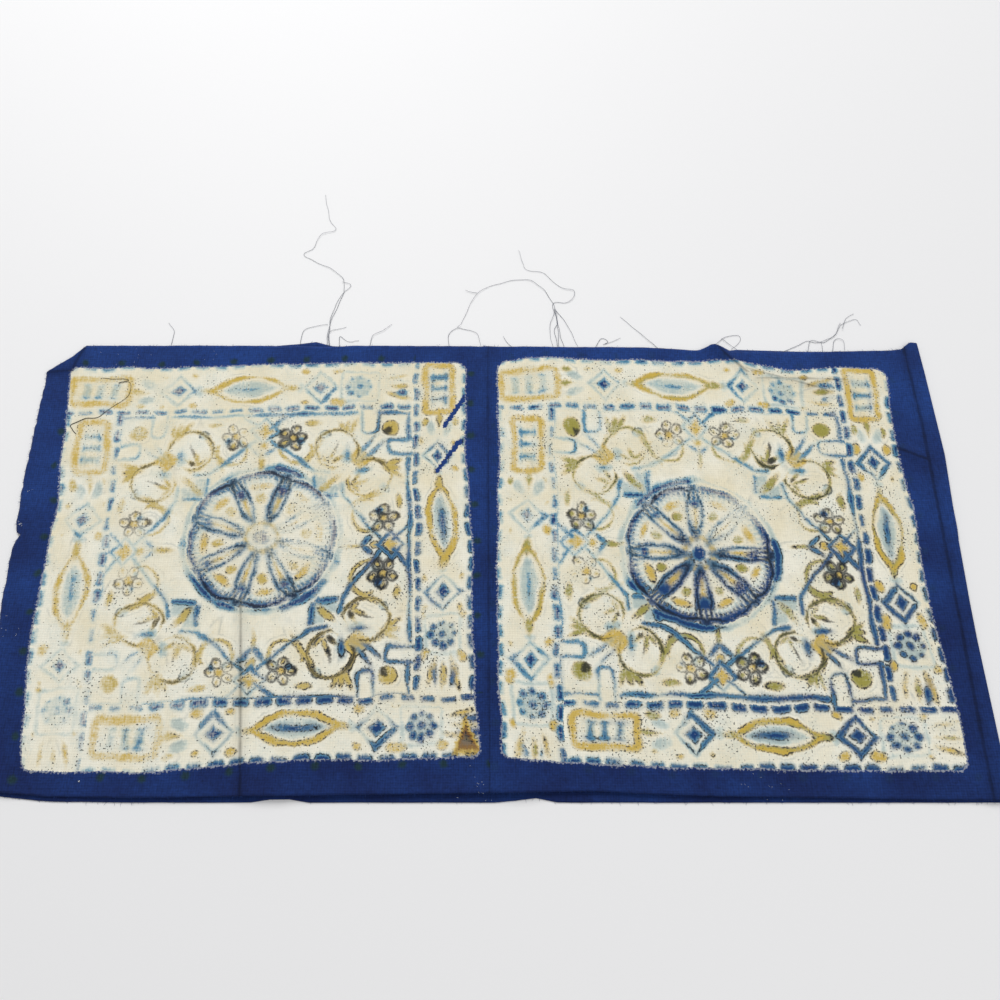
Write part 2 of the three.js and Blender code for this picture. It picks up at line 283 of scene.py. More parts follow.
def upper_shares():
    """Shares of the upper layer's length at its mesh columns."""
    fine = np.linspace(0, 1, 4001)
    crowd = 1 + 0.6 * np.cos(np.pi * fine) ** 4
    for place in CLOSER_COLUMNS:
        crowd = crowd + 4 * np.exp(-((fine - place["at"]) / place["reach"]) ** 2)
    gone = np.concatenate([[0], np.cumsum(crowd[1:])])
    return np.interp(np.linspace(0, 1, UPPER_COLUMNS + 1), gone / gone[-1], fine)


def uneven(x, y, size, seed):
    """A gentle, seeded unevenness from -1 to 1, with waves of about the given size."""
    rng = np.random.default_rng(seed)
    total = 0
    waves = 6
    for _ in range(waves):
        heading = rng.uniform(0, 2 * np.pi)
        pitch = size * rng.uniform(0.6, 1.6)
        across = x * np.cos(heading) + y * np.sin(heading)
        total = total + np.sin(2 * np.pi * across / pitch + rng.uniform(0, 2 * np.pi))
    return total / waves


def lift_height(lift, x, y):
    off = np.hypot((x - lift["x"]) / lift["wide"], (y - lift["y"]) / lift["deep"])
    return lift["high"] * (1 - smooth(off))


def crease_heights(x, y):
    """Height of all the creases over the cloth between them."""
    ridge = np.zeros(x.shape)
    groove = np.zeros(x.shape)
    for crease in CREASES:
        (x0, y0), (x1, y1) = crease["start"], crease["end"]
        run = np.array([x1 - x0, y1 - y0])
        along = np.clip(((x - x0) * run[0] + (y - y0) * run[1]) / (run @ run), 0, 1)
        off = np.hypot(x - x0 - along * run[0], y - y0 - along * run[1])
        ridge = np.maximum(ridge, crease["high"] * (1 - smooth(off / crease["half"])))
        groove = np.maximum(groove, crease["groove"] * (1 - smooth(off / GROOVE_HALF)))
    return ridge - groove


def inside_line(start, end, x, y):
    """How far points lie inside the line from start to end, on its left-hand side."""
    (x0, y0), (x1, y1) = start, end
    return ((x1 - x0) * (y - y0) - (y1 - y0) * (x - x0)) / math.hypot(x1 - x0, y1 - y0)


def flap_height(x, y):
    inside = np.minimum(inside_line(FLAP["inner"], FLAP["back"], x, y),
                        inside_line(FLAP["outer"], FLAP["inner"], x, y))
    return FLAP["high"] * smooth((inside + FLAP["edge"]) / FLAP["edge"])


def upper_height(cloth, x, y, fold_start):
    """Mid-line height of the upper layer, in millimetres."""
    sheet = cloth.sheet / MM
    lifts = sum(lift_height(lift, x, y) for lift in LIFTS)
    ripple = cloth.ripple / MM * (1 + uneven(x, y, 90, 3) + 0.5 * uneven(x, y, 31, 4))
    at_rest = sheet * 1.5 + cloth.air / MM + lifts + crease_heights(x, y) + flap_height(x, y) + ripple
    at_fold = sheet / 2 + 2 * cloth.fold_radius / MM
    down = smooth((fold_start - x) / (cloth.fold_rise / MM))
    return at_fold + (at_rest - at_fold) * down


def cloth_sections(cloth):
    """Mid-line points of the cloth, a row for each place along its width, from the lower layer's left
    end round the fold to the upper layer's left end, on the plan in millimetres."""
    sheet, radius = cloth.sheet / MM, cloth.fold_radius / MM
    share = edged_shares(ROWS)[:, None]
    y = share * DEPTH
    ravel = cloth.ravel / MM * (uneven(y, 0 * y, 9, 5) + 0.8 * uneven(y, 0 * y, 30, 6))
    left = read_table(ENDS, "y", y, "left") + ravel
    fold_start = read_table(ENDS, "y", y, "right") - radius - sheet / 2
    turn = np.pi * (np.arange(1, FOLD_COLUMNS)[None, :] / FOLD_COLUMNS - 0.5)
    lower = edged_shares(LOWER_COLUMNS)[None, :]
    upper = upper_shares()[None, :]
    x = np.hstack([
        left + LOWER_SHORT + (fold_start - left - LOWER_SHORT) * lower,
        fold_start + radius * np.cos(turn),
        fold_start + (left - fold_start) * upper,
    ])
    raised = np.hstack([0 * lower, (1 + np.sin(turn)) / 2, 0 * upper + 1])
    front = read_table(FRONT, "x", x, "lower") * (1 - raised) + read_table(FRONT, "x", x, "upper") * raised
    back = read_table(BACK, "x", x, "lower") * (1 - raised) + read_table(BACK, "x", x, "upper") * raised
    back = back + 0.35 * uneven(x, raised * 50, 14, 7)
    front = front + 0.25 * uneven(x, raised * 50, 17, 8)
    y = front + (back - front) * share
    height = sheet / 2 + raised * 2 * radius
    on_top = np.arange(x.shape[1]) >= LOWER_COLUMNS + FOLD_COLUMNS
    height = np.where(on_top[None, :], upper_height(cloth, x, y, fold_start), height)
    return np.stack([x, y, height + 0 * x], axis=-1)


def square_place(corners, x, y):
    """Places in a printed square, in millimetres from its middle, of points on the plan."""
    names = ("front_left", "front_right", "back_left", "back_right")
    fl, fr, bl, br = (np.array(corners[name], float) for name in names)
    s = np.full(x.shape, 0.5)
    t = np.full(x.shape, 0.5)
    target = np.stack([x, y], axis=-1)
    for _ in range(6):
        s1, t1 = s[..., None], t[..., None]
        here = (1 - t1) * ((1 - s1) * fl + s1 * fr) + t1 * ((1 - s1) * bl + s1 * br)
        along = (1 - t1) * (fr - fl) + t1 * (br - bl)
        across = (1 - s1) * (bl - fl) + s1 * (br - fr)
        gap = target - here
        area = along[..., 0] * across[..., 1] - along[..., 1] * across[..., 0]
        s = s + (gap[..., 0] * across[..., 1] - gap[..., 1] * across[..., 0]) / area
        t = t + (along[..., 0] * gap[..., 1] - along[..., 1] * gap[..., 0]) / area
    return (s - 0.5) * SQUARE, (t - 0.5) * SQUARE


def stretched(u, v, edges):
    """Places in a square drawn out or in towards its sides, as far as its print reaches there."""
    side = SQUARE / 2
    right = read_table(edges, "at", v, "right") * smooth((u - side + EDGE_REACH) / EDGE_REACH)
    left = read_table(edges, "at", v, "left") * smooth((-u - side + EDGE_REACH) / EDGE_REACH)
    back = read_table(edges, "at", u, "back") * smooth((v - side + EDGE_REACH) / EDGE_REACH)
    front = read_table(edges, "at", u, "front") * smooth((-v - side + EDGE_REACH) / EDGE_REACH)
    return np.stack([u - right + left, v - back + front], axis=-1)


def to_frame(points):
    """Points on the plan, in millimetres, as places in the frame, in metres."""
    points = np.asarray(points, float)
    return points * MM + np.array([PLAN_X, PLAN_Y, CLOTH_LOWEST[2]])


def make_object(name, points, faces, material):
    mesh = bpy.data.meshes.new(name)
    mesh.from_pydata([tuple(p) for p in points], [], [tuple(f) for f in faces])
    mesh.polygons.foreach_set("use_smooth", [True] * len(mesh.polygons))
    mesh.update()
    piece = bpy.data.objects.new(name, mesh)
    bpy.context.scene.collection.objects.link(piece)
    mesh.materials.append(material)
    return piece


def add_map(mesh, name, places):
    """A UV map from one place for each face corner."""
    layer = mesh.uv_layers.new(name=name)
    layer.data.foreach_set("uv", np.asarray(places, np.float32).ravel())


def quads_of(rows, columns):
    """Corners of each quad of a grid, as (row, column) pairs in turning order."""
    r, c = np.meshgrid(np.arange(rows - 1), np.arange(columns - 1), indexing="ij")
    r, c = r.ravel(), c.ravel()
    return np.stack([np.stack([r, c], -1), np.stack([r + 1, c], -1), np.stack([r + 1, c + 1], -1),
                     np.stack([r, c + 1], -1)], axis=1)


def rim_of(rows, columns):
    """Rim quads as pairs of grid corners, in turning order for the outer face."""
    front = [((0, c), (0, c + 1)) for c in range(columns - 1)]
    end = [((r, columns - 1), (r + 1, columns - 1)) for r in range(rows - 1)]
    back = [((rows - 1, c + 1), (rows - 1, c)) for c in range(columns - 1)]
    start = [((r + 1, 0), (r, 0)) for r in range(rows - 1)]
    return front + end + back + start


def build_cloth(cloth, colours):
    """The folded cloth as one thin closed sheet, with maps for its print, its weave and its bake."""
    middle = cloth_sections(cloth)
    rows, columns = middle.shape[:2]
    run = np.gradient(middle, axis=1)
    length = np.hypot(run[..., 0], run[..., 2])
    aside = np.stack([run[..., 2] / length, 0 * length, -run[..., 0] / length], axis=-1)
    aside[:, :LOWER_COLUMNS + 1] = (0, 0, -1)
    half = cloth.sheet / MM / 2
    outer, inner = middle + half * aside, middle - half * aside
    points = to_frame(np.concatenate([outer.reshape(-1, 3), inner.reshape(-1, 3)]))

    quads = quads_of(rows, columns)
    index = quads[..., 0] * columns + quads[..., 1]
    rim = np.array(rim_of(rows, columns))
    rim_index = rim[..., 0] * columns + rim[..., 1]
    behind = rows * columns
    rim_faces = np.hstack([rim_index, rim_index[:, ::-1] + behind])
    faces = np.concatenate([index, index[:, ::-1] + behind, rim_faces])
    corners = np.concatenate([quads, quads[:, ::-1], np.concatenate([rim, rim[:, ::-1]], axis=1)])
    piece = make_object("folded_printed_cloth", points, faces.tolist(), printed_cotton(cloth, colours))

    add_map(piece.data, "cut_cloth", unfolded(middle)[corners[..., 0], corners[..., 1]] * MM)

    side = [stretched(*square_place(square, middle[..., 0], middle[..., 1]), edges)
            for square, edges in zip(SQUARES, PRINT_EDGES)]
    side[1] = side[1] + (SQUARES_APART, 0)
    column = corners[..., 1].min(axis=1)
    gap_x = (SQUARES[0]["front_right"][0] + SQUARES[1]["front_left"][0]) / 2
    in_right = middle[corners[:, 0, 0], column, 0] > gap_x
    place = np.where(in_right[:, None, None], side[1][corners[..., 0], corners[..., 1]],
                     side[0][corners[..., 0], corners[..., 1]])
    count = len(quads)
    shown = column >= LOWER_COLUMNS
    shown[count:2 * count] = False
    place[~shown] += UNPRINTED
    add_map(piece.data, "print_place", place * MM)
    add_map(piece.data, "OFBake", bake_places(corners, count, columns))

    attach(piece, "root")
    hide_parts("folded_cloth")
    return piece, (DEPTH * MM, float(np.ptp(unfolded(middle)[..., 0].mean(axis=0))) * MM)


def unfolded(middle):
    """Places of the cloth opened out to the right, on the plan, with its upper layer where it lies."""
    steps = np.linalg.norm(np.diff(middle[..., ::2], axis=1), axis=-1)
    gone = np.concatenate([np.zeros((len(middle), 1)), np.cumsum(steps, axis=1)], axis=1)
    fold_end = LOWER_COLUMNS + FOLD_COLUMNS
    x = middle[:, fold_end:fold_end + 1, 0] + gone[:, fold_end:fold_end + 1] - gone
    return np.stack([x, middle[..., 1]], axis=-1)


def bake_places(corners, count, columns):
    """A layout of the cloth's faces for baking, with most of it given to the side that shows."""
    across = edged_shares(ROWS)[corners[..., 0]]
    column = corners[..., 1]
    own = column.min(axis=1)[:, None]
    top_first = LOWER_COLUMNS
    on_top = own >= top_first
    along = np.where(on_top, (column - top_first) / (columns - 1 - top_first), column / top_first)
    under = np.zeros(len(corners), int)
    under[count:2 * count] = 1
    band = 0.06
    low = np.where(on_top & (under[:, None] == 0), 0.005, 0.80 + band * (under[:, None] + 1 * ~on_top))
    high = np.where(on_top & (under[:, None] == 0), 0.79, band * 0.8)
    u = 0.005 + 0.99 * along
    v = low + high * across
    rim = slice(2 * count, None)
    v[rim, 2:] += 0.002
    return np.stack([u, v], axis=-1)


def add_node(tree, kind, feeds=(), **settings):
    """Adds one shader node, its kind followed by its operation if it has one. feeds are the sockets or
    values of its inputs, by place, index or name. Returns its output, or the list of several."""
    kind, _, operation = kind.partition(" ")
    node = tree.nodes.new("ShaderNode" + kind)
    if operation:
        node.operation = operation
    for name, value in settings.items():
        setattr(node, name, value)
    named = feeds.items() if isinstance(feeds, dict) else enumerate(feeds)
    for key, value in named:
        if isinstance(value, bpy.types.NodeSocket):
            tree.links.new(value, node.inputs[key])
        elif value is not None:
            node.inputs[key].default_value = value
    outputs = [socket for socket in node.outputs if socket.enabled]
    return outputs[0] if len(outputs) == 1 else outputs


def new_material(name):
    """A material without nodes, and the function that adds a node to it."""
    material = bpy.data.materials.new(name)
    material.use_nodes = True
    material.node_tree.nodes.clear()
    return material, functools.partial(add_node, material.node_tree)


def motif(ink, form, x, y, wide, high=None, turn=0, swell=0, line=0, cut=None, fade=0):
    """One shape of the print. An oval or lozenge reaches wide and high to each side of (x, y), and a bar
    reaches swell past them. line makes it an outline that wide to each side. cut keeps what lies past
    that share of its height. fade is how unevenly it took. Millimetres, and degrees for the turn."""
    return dict(ink=ink, form=form, x=x, y=y, wide=wide, high=wide if high is None else high, turn=turn,
                swell=swell, line=line, cut=cut, fade=fade)


def petals(ink, count, x, y, reach, wide, high, line):
    turns = [360 * k / count + 17 for k in range(count)]
    return [motif(ink, "oval", x + reach * math.cos(math.radians(a)), y + reach * math.sin(math.radians(a)),
                  wide, high, turn=a, line=line, fade=5) for a in turns]


# The field's motifs, in one eighth of it: x runs outwards from the middle, y along the side
FIELD_MOTIFS = [
    motif("olive", "oval", 125, 125, 8.2),
    motif("dark", "oval", 121, 125, 4.2, 6.5, fade=16),
    motif("gold", "oval", 95, 93, 7.4),
    motif("gold", "lozenge", 95, 93, 11.5),
    motif("blue", "oval", 107, 101, 7, 1.3, turn=38, fade=6),
    motif("olive", "oval", 108, 92, 7, 1.1, turn=-12, fade=6),
    motif("pale", "oval", 95, 80, 7, 5),
    motif("blue", "oval", 97, 81, 5.5, 2.2, fade=9),
    motif("olive", "oval", 104, 71.5, 20.5, 21.5, line=1.3, turn=-124, cut=-0.8, fade=3),
    motif("dark", "oval", 104, 71.5, 20.5, 21.5, line=0.5, turn=-124, cut=-0.8, fade=7),
    motif("olive", "oval", 126, 78.5, 7.5, 2.4, turn=-34),
    motif("olive", "oval", 125.5, 83, 7, 3.0, turn=-8),
    motif("olive", "oval", 126, 88, 7, 2.4, turn=20),
    motif("dark", "bar", 111, 90, 6, 0, turn=-30, swell=0.5, fade=3),
    motif("pale", "oval", 120.5, 59.5, 5),
    motif("dark", "oval", 120.5, 59.5, 4.6, line=0.7, turn=-70, cut=-0.2, fade=4),
    motif("olive", "oval", 102, 48.5, 14, 2.5, turn=30),
    motif("olive", "oval", 95, 66, 5.5, 1.8, turn=18),
    motif("olive", "oval", 92, 61, 4.2, 1.5, turn=-52),
    motif("olive", "oval", 91, 71, 4.2, 1.5, turn=62),
    motif("dark", "oval", 90, 70, 3.4, 2.2, turn=62, fade=9),
    motif("dark", "oval", 103, 70, 4.5, 0.9, turn=14, fade=6),
    motif("pale", "bar", 80, 58, 7, 0, turn=-82, swell=2.0),
    motif("pale", "bar", 87, 42, 10.8, 0, turn=-56, swell=2.1),
    motif("pale", "bar", 104, 20, 17, 0, turn=-50, swell=1.6),
    motif("blue", "bar", 80, 58, 7, 0, turn=-82, swell=1.2, fade=12),
    motif("blue", "bar", 87, 42, 10.8, 0, turn=-56, swell=1.3, fade=10),
    motif("blue", "bar", 104, 20, 17, 0, turn=-50, swell=1.0, fade=9),
    motif("olive", "oval", 104.5, 31, 15.5, line=1.1, turn=90, cut=-0.3, fade=5),
    motif("gold", "oval", 118, 28, 3.6),
    *petals("dark", 5, 118, 27, 9.0, 5.0, 4.4, 1.2),
    *petals("olive", 5, 118, 27, 10.5, 2.6, 1.6, 0),
    motif("pale", "oval", 111, 22, 4.4, 3.6, fade=8),
    motif("blue", "oval", 114, 35, 3.2, fade=12),
    motif("olive", "oval", 133, 47, 2.6, 6),
    motif("gold", "lozenge", 126, 0, 7.5),
    motif("pale", "lozenge", 126, 0, 13, line=1.4),
    motif("blue", "lozenge", 126, 0, 13, line=0.8, fade=16),
    motif("gold", "oval", 110, 0, 3.6),
    motif("olive", "oval", 91, 0, 7, 1.7),
    motif("blue", "oval", 102, 5, 6, 2.2, turn=45, fade=6),
    motif("pale", "bar", 135, 12, 9, 0, turn=50, swell=1.4),
    motif("blue", "bar", 135, 12, 9, 0, turn=50, swell=1.2, fade=12),
    motif("pale", "bar", 65, 57, 8.5, 5, swell=2),
    motif("blue", "bar", 65, 52, 9, 0, swell=2.2, fade=5),
    motif("olive", "oval", 66, 65, 9, 2.3, turn=45),
    motif("pale", "bar", 143.5, 46, 0, 46, swell=1.6),
    motif("blue", "bar", 143.5, 46, 0, 46, swell=1.8, fade=8),
    motif("blue", "bar", 143.5, 128, 0, 16, swell=1.8, fade=6),
    motif("pale", "bar", 136, 104.5, 10, 2.2, swell=5.2, line=1.3),
    motif("blue", "bar", 136, 104.5, 10, 2.2, swell=5.2, line=0.9, fade=9),
]
# Round the medallion, from its middle
RIM_MOTIFS = [
    motif("pale", "oval", 0, 0, 74, line=3.4, fade=9),
    motif("blue", "oval", 0, 0, 73.5, line=1.1, fade=40),
]
# The medallion's motifs, in one sixteenth of it: x runs out along a spoke, y to its side
SPOKES = 8
MEDALLION_EDGE = 70.8
MEDALLION_MOTIFS = [
    motif("blue", "oval", 0, 0, 7.2),
    motif("gold", "oval", 0, 0, 15, line=2.5, fade=3),
    motif("gold", "bar", 33, 0, 17, 0, swell=2.2, fade=8),
    motif("pale", "oval", 43, 0, 24, 6.2, line=1.5),
    motif("dark", "oval", 43, 0, 24, 6.4, line=0.5, fade=4),
    motif("blue", "oval", 43, 0, 24, 6.4, line=1.9, fade=6),
    motif("blue", "oval", 56, 0, 11, 6.0, fade=14),
    motif("blue", "oval", 34.2, 14.2, 30.5, line=4.3, turn=-67.5, cut=0.71, fade=3),
    motif("dark", "oval", 34.2, 14.2, 32.0, line=0.9, turn=-67.5, cut=0.72, fade=7),
    motif("pale", "oval", 34, 14.1, 25, line=3.6, turn=-67.5, cut=0.62),
    motif("gold", "oval", 49.5, 20.5, 3.4, 7.5, turn=22.5),
    motif("olive", "oval", 38, 15.7, 4.6, 3.8, turn=22.5),
]
# White teeth inside the medallion's scallops
TOOTH_PITCH = 5.4
TOOTH_HALF = 1.3
TOOTH_FOOT = 56.0
TOOTH_TOP = 64.4
# The border strip's motifs: x runs along the strip from its start, y across it from its middle
STRIP_MOTIFS = [
    motif("gold", "bar", 31, 0, 23.5, 10, swell=4.6, line=3.0),
    *[motif("pale", "bar", 31 + k, 0, 2.0, 7, swell=1.6) for k in (-13.5, 0, 13.5)],
    *[motif("blue", "bar", 31 + k, 0, 0.4, 6, swell=1.1, fade=9) for k in (-13.5, 0, 13.5)],
    *[motif("blue", "oval", 31 + k, 7.6, 3.8, 1.7, fade=6) for k in (-13.5, 0, 13.5)],
    motif("olive", "lozenge", 67, 0, 8, 2.6),
    motif("pale", "oval", 78, 9, 8, 4.2, turn=-22),
    motif("olive", "oval", 71, 16, 4.4, 2.6, fade=16),
    motif("pale", "oval", 290, 0, 13.5, fade=5),
    *[motif("blue", "oval", 290 + 11.5 * math.cos(a), 11.5 * math.sin(a), 3.2, fade=12)
      for a in np.radians((0, 45, 90, 135, 180))],
    motif("blue", "oval", 290, 0, 3.6, fade=6),
    motif("pale", "bar", 290, 0, 16, 14, swell=3, line=1.5, fade=4),
    *[motif("gold", "oval", 290 + k, 18, 4.0, 3.2, fade=16) for k in (-20, 20)],
    motif("olive", "oval", 329, 0, 9, 2.6, fade=7),
    motif("gold", "oval", 327, 11, 11, 2.6, turn=12, fade=7),
    motif("blue", "oval", 333, 7, 6, 2.4, turn=-10, fade=24),
]
# More of the strip's motifs, the same to each side of its middle, from which x runs
STRIP_MIDDLE = 179.0
STRIP_PAIRED_MOTIFS = [
    motif("olive", "oval", 0, -44, 57.5, line=2.1, fade=8),
    motif("gold", "oval", 0, -44, 58.4, line=1.5, fade=10),
    motif("pale", "oval", 0, -41, 49.5, fade=4),
    motif("blue", "oval", 0, 0, 15, 2.8, fade=8),
    motif("olive", "oval", 39, 0, 7, 3.0),
    motif("pale", "oval", 50, 0, 3.4, 5, fade=9),
    motif("pale", "lozenge", 71, 0, 16, 17, line=1.7, fade=3),
    motif("blue", "lozenge", 71, 0, 16, 17, line=0.8, fade=20),
    motif("blue", "lozenge", 71, 0, 7.5, 6.5),
    motif("blue", "bar", 71, 0, 6.5, 0, swell=0.7),
    motif("gold", "oval", 56, 17, 4.0, 3.2, fade=16),
    motif("gold", "oval", 86, 17, 4.0, 3.2, fade=16),
]
# Marks of the left square alone, from its middle: a rust-brown stain and two slips of the blue resist
MARKS = [
    motif("stain", "lozenge", 190, -197, 13, 33, cut=0),
    motif("slip", "bar", 190, 142, 20, 0, turn=58, swell=2.6),
    motif("slip", "bar", 183, 91, 20, 0, turn=52, swell=2.6),
    motif("dark", "bar", 168.5, 75, 0.8, 2.2, swell=0.9),
]
# Areas where the inks are worn paler, or held darker where the loss is below 0. The right square is
# SQUARES_APART to the right of the left one.
WORN_AREAS = table("x y reach loss",
    (38, 14, 62, 0.5), (-140, -160, 120, 0.3), (170, -60, 70, 0.2), (150, -180, 80, 0.25),
    (110, -28, 48, -0.35), (20, 118, 30, -0.3), (116, 128, 26, -0.4), (60, -110, 50, -0.25),
    (-60, -40, 46, -0.2), (1025, 36, 48, 0.45), (1165, -175, 70, 0.3), (1062, 5, 34, -0.25),
    (960, -60, 60, -0.3), (875, 128, 26, -0.4), (1116, -20, 46, -0.3))
EVERYWHERE_LOST = 0.08
# Sizes of the unevenness of the print, its specks and its dyed ground
GRAIN = 2.2
PATCH = 24
DRIFT = 42
WOBBLE = 38
YARN_STEP = 2.1
SPECK = 1.8
MOTTLE = 60
# Blue dashes along both sides of each border strip
DASH_PITCH = 18.6
INNER_DASH = motif("blue", "bar", 0, 0, 4.2, 0.3, swell=2.8, fade=5)
OUTER_DASH = motif("pale", "bar", 0, 0, 4.4, 0.3, swell=2.8, fade=5)
OUTER_CORE = motif("blue", "bar", 0, 0, 4.0, 0, swell=2.0, fade=9)
STRIP_INNER = 145.0
STRIP_SHORT = 140.0
STRIP_CENTRE = 172.3
INNER_DASHES = -24.3
OUTER_DASHES = 26.8
GHOST_OFF = 4.2
# Dark spots on the ground, two dashes apart along each strip
OVERPRINT_START = 12.5
OVERPRINT_LINE = 33.5

# How each ink looks at depths inside its motif's edge, in millimetres: its colour and its cover
INKS = {
    "pale": [(1.5, "pale_blue", 0.0), (0.0, "pale_blue", 0.4), (-1.8, "teal", 0.64)],
    "olive": [(2.1, "mustard", 0.0), (0.4, "mustard", 0.45), (-0.7, "olive", 0.9), (-2.5, "olive", 1.0)],
    "gold": [(2.0, "mustard", 0.0), (0.1, "mustard", 0.45), (-1.4, "mustard", 0.95)],
    "blue": [(3.2, "teal", 0.0), (0.9, "pale_blue", 0.36), (-0.3, "mid_blue", 0.82),
             (-1.2, "mid_blue", 0.97), (-2.5, "dark_blue", 1.0)],
    "dark": [(0.8, "black", 0.0), (-0.2, "black", 0.6), (-1.2, "black", 0.9)],
    "slip": [(0.3, "ground", 0.0), (-0.3, "ground", 1.0)],
    "stain": [(1.0, "mustard", 0.0), (-0.5, "mustard", 0.9), (-2.0, "stain", 0.95), (-5.0, "black", 0.8)],
}


def motif_distance(add, at, row, fading):
    """Adds the nodes that measure how far the place at lies outside one motif, in millimetres."""
    x, y, wide, high = (row[key] for key in ("x", "y", "wide", "high"))
    if row["turn"]:
        at = add("VectorRotate", {"Vector": at, "Center": (x, y, 0), "Angle": math.radians(-row["turn"])},
                 rotation_type="Z_AXIS")
    least = 1 if row["form"] == "bar" else min(wide, high)
    scale = (1, 1, 0) if row["form"] == "bar" else (1 / wide, 1 / high, 0)
    offset = (-x * scale[0], -y * scale[1], 0)
    local = add("VectorMath MULTIPLY_ADD", (at, scale, offset))
    if row["form"] == "bar":
        folded = add("VectorMath ABSOLUTE", (local,))
        past = add("VectorMath SUBTRACT", (folded, (wide, high, 0)))
        past = add("VectorMath MAXIMUM", (past, (0, 0, 0)))
        away = add("VectorMath LENGTH", (past,))
        away = add("Math SUBTRACT", (away, row["swell"]))
    elif row["form"] == "lozenge":
        folded = add("VectorMath ABSOLUTE", (local,))
        away = add("VectorMath DOT_PRODUCT", (folded, (1, 1, 0)))
        away = add("Math MULTIPLY_ADD", (away, 0.7 * least, -0.7 * least))
    else:
        away = add("VectorMath LENGTH", (local,))
        away = add("Math MULTIPLY_ADD", (away, least, -least))
    if row["line"]:
        away = add("Math ABSOLUTE", (away,))
        away = add("Math SUBTRACT", (away, row["line"]))
    if row["cut"] is not None:
        up = add("VectorMath DOT_PRODUCT", (local, (0, 1, 0)))
        kept = add("Math MULTIPLY_ADD", (up, -least, row["cut"] * least))
        away = add("Math MAXIMUM", (away, kept))
    if row["fade"]:
        away = add("Math MULTIPLY_ADD", (fading, row["fade"], away))
    return away


def nearest(add, at, rows, fading, so_far=None):
    """The distance to the nearest motif of each ink."""
    found = dict(so_far or {})
    for row in rows:
        away = motif_distance(add, at, row, fading)
        ink = row["ink"]
        found[ink] = add("Math MINIMUM", (found[ink], away)) if ink in found else away
    return found


def weighted(add, start, *terms, clamped=False):
    """A value with a share of each term added to it, clamped to between 0 and 1 at the end if asked."""
    for k, (value, share) in enumerate(terms, 1):
        start = add("Math MULTIPLY_ADD", (value, share, start), use_clamp=clamped and k == len(terms))
    return start


def off_line(add, value, line):
    """How far a value is from the line's own one, on either side."""
    off = add("Math SUBTRACT", (value, line))
    return add("Math ABSOLUTE", (off,))


def spread(add, under, over, limits, share=None):
    """Lays a colour over another. limits are a value, two places on its scale, and the cover at each."""
    cover = add("MapRange", limits)
    if share is not None:
        cover = add("Math MULTIPLY", (cover, share))
    return add("Mix", {0: cover, 6: under, 7: (*over, 1)}, data_type="RGBA")


def lay_ink(add, under, edge, steps, colours, wear, toward=None):
    """Lays an ink over a colour, by how far outside its motif's edge a place is. toward is the share and
    the name of a colour that the ink turns to."""
    outer, inner = steps[0][0], steps[-1][0]
    share = add("MapRange", (edge, outer, inner, 0.0, 1.0))
    tint, cover = add("ValToRGB", (share,))
    ramp = tint.node.color_ramp
    while len(ramp.elements) < len(steps):
        ramp.elements.new(0.5)
    for element, (depth, name, strength) in zip(ramp.elements, steps):
        element.position = (outer - depth) / (outer - inner)
        element.color = (*getattr(colours, name), strength)
    cover = add("Math MULTIPLY", (cover, wear))
    if toward is not None:
        share, name = toward
        tint = add("Mix", {0: share, 6: tint, 7: (*getattr(colours, name), 1)}, data_type="RGBA")
    return add("Mix", {0: cover, 6: under, 7: tint}, data_type="RGBA")


def printed_colour(add, found, look, colours):
    """The cream cotton under its inks, with the dark outlines that are left here and there, and specks."""
    colour = look["cream"]
    for ink in (name for name in INKS if name in found):
        edge = add("Math ADD", (found[ink], look["worn"]))
        wear = look["wear"].get(ink, look["wear"]["other"])
        colour = lay_ink(add, colour, edge, INKS[ink], colours, wear, look["toward"].get(ink))
        if ink == "gold":
            colour = ghost_line(add, colour, found, look, colours)
    close = add("Math MINIMUM", (found["blue"], found["gold"]))
    close = add("Math MINIMUM", (close, found["olive"]))
    close = add("Math MULTIPLY_ADD", (look["worn"], 0.7, close))
    outline = off_line(add, close, 0.3)
    colour = spread(add, colour, colours.black, (outline, 1.1, 0.2, 0.0, 1.0), look["outlined"])
    outline = add("MapRange", (outline, 0.4, 1.6, 0.06, 0.0))
    closeness = add("MapRange", (close, 0.0, 6.0, 0.05, 0.0))
    gate = add("Math ADD", (outline, closeness))
    gate = add("Math ADD", (gate, look["specks"]))
    return spread(add, colour, colours.black, (gate, 0.86, 0.94, 0.0, 0.85))


def ghost_line(add, under, found, look, colours):
    """A faint second outline a little way outside the olive motifs, from a block set down beside them."""
    off = add("Math ADD", (look["worn"], found["olive"]))
    off = off_line(add, off, GHOST_OFF)
    return spread(add, under, colours.slate, (off, 1.2, 0.2, 0.0, 1.0), look["ghost"])


def by_square(add, in_right, key):
    """A vector that differs between the left and the right square."""
    left, right = ((*square[key], 0) for square in SQUARES)
    return add("Mix", {0: in_right, 4: left, 5: right}, data_type="VECTOR")


def folded_field(add, at):
    """A place's distances from the square's middle lines, the larger one first, and the larger alone."""
    folded = add("VectorMath ABSOLUTE", (at,))
    x, y, _ = add("SeparateXYZ", (folded,))
    larger = add("Math MAXIMUM", (x, y))
    smaller = add("Math MINIMUM", (x, y))
    return add("CombineXYZ", (larger, smaller)), larger


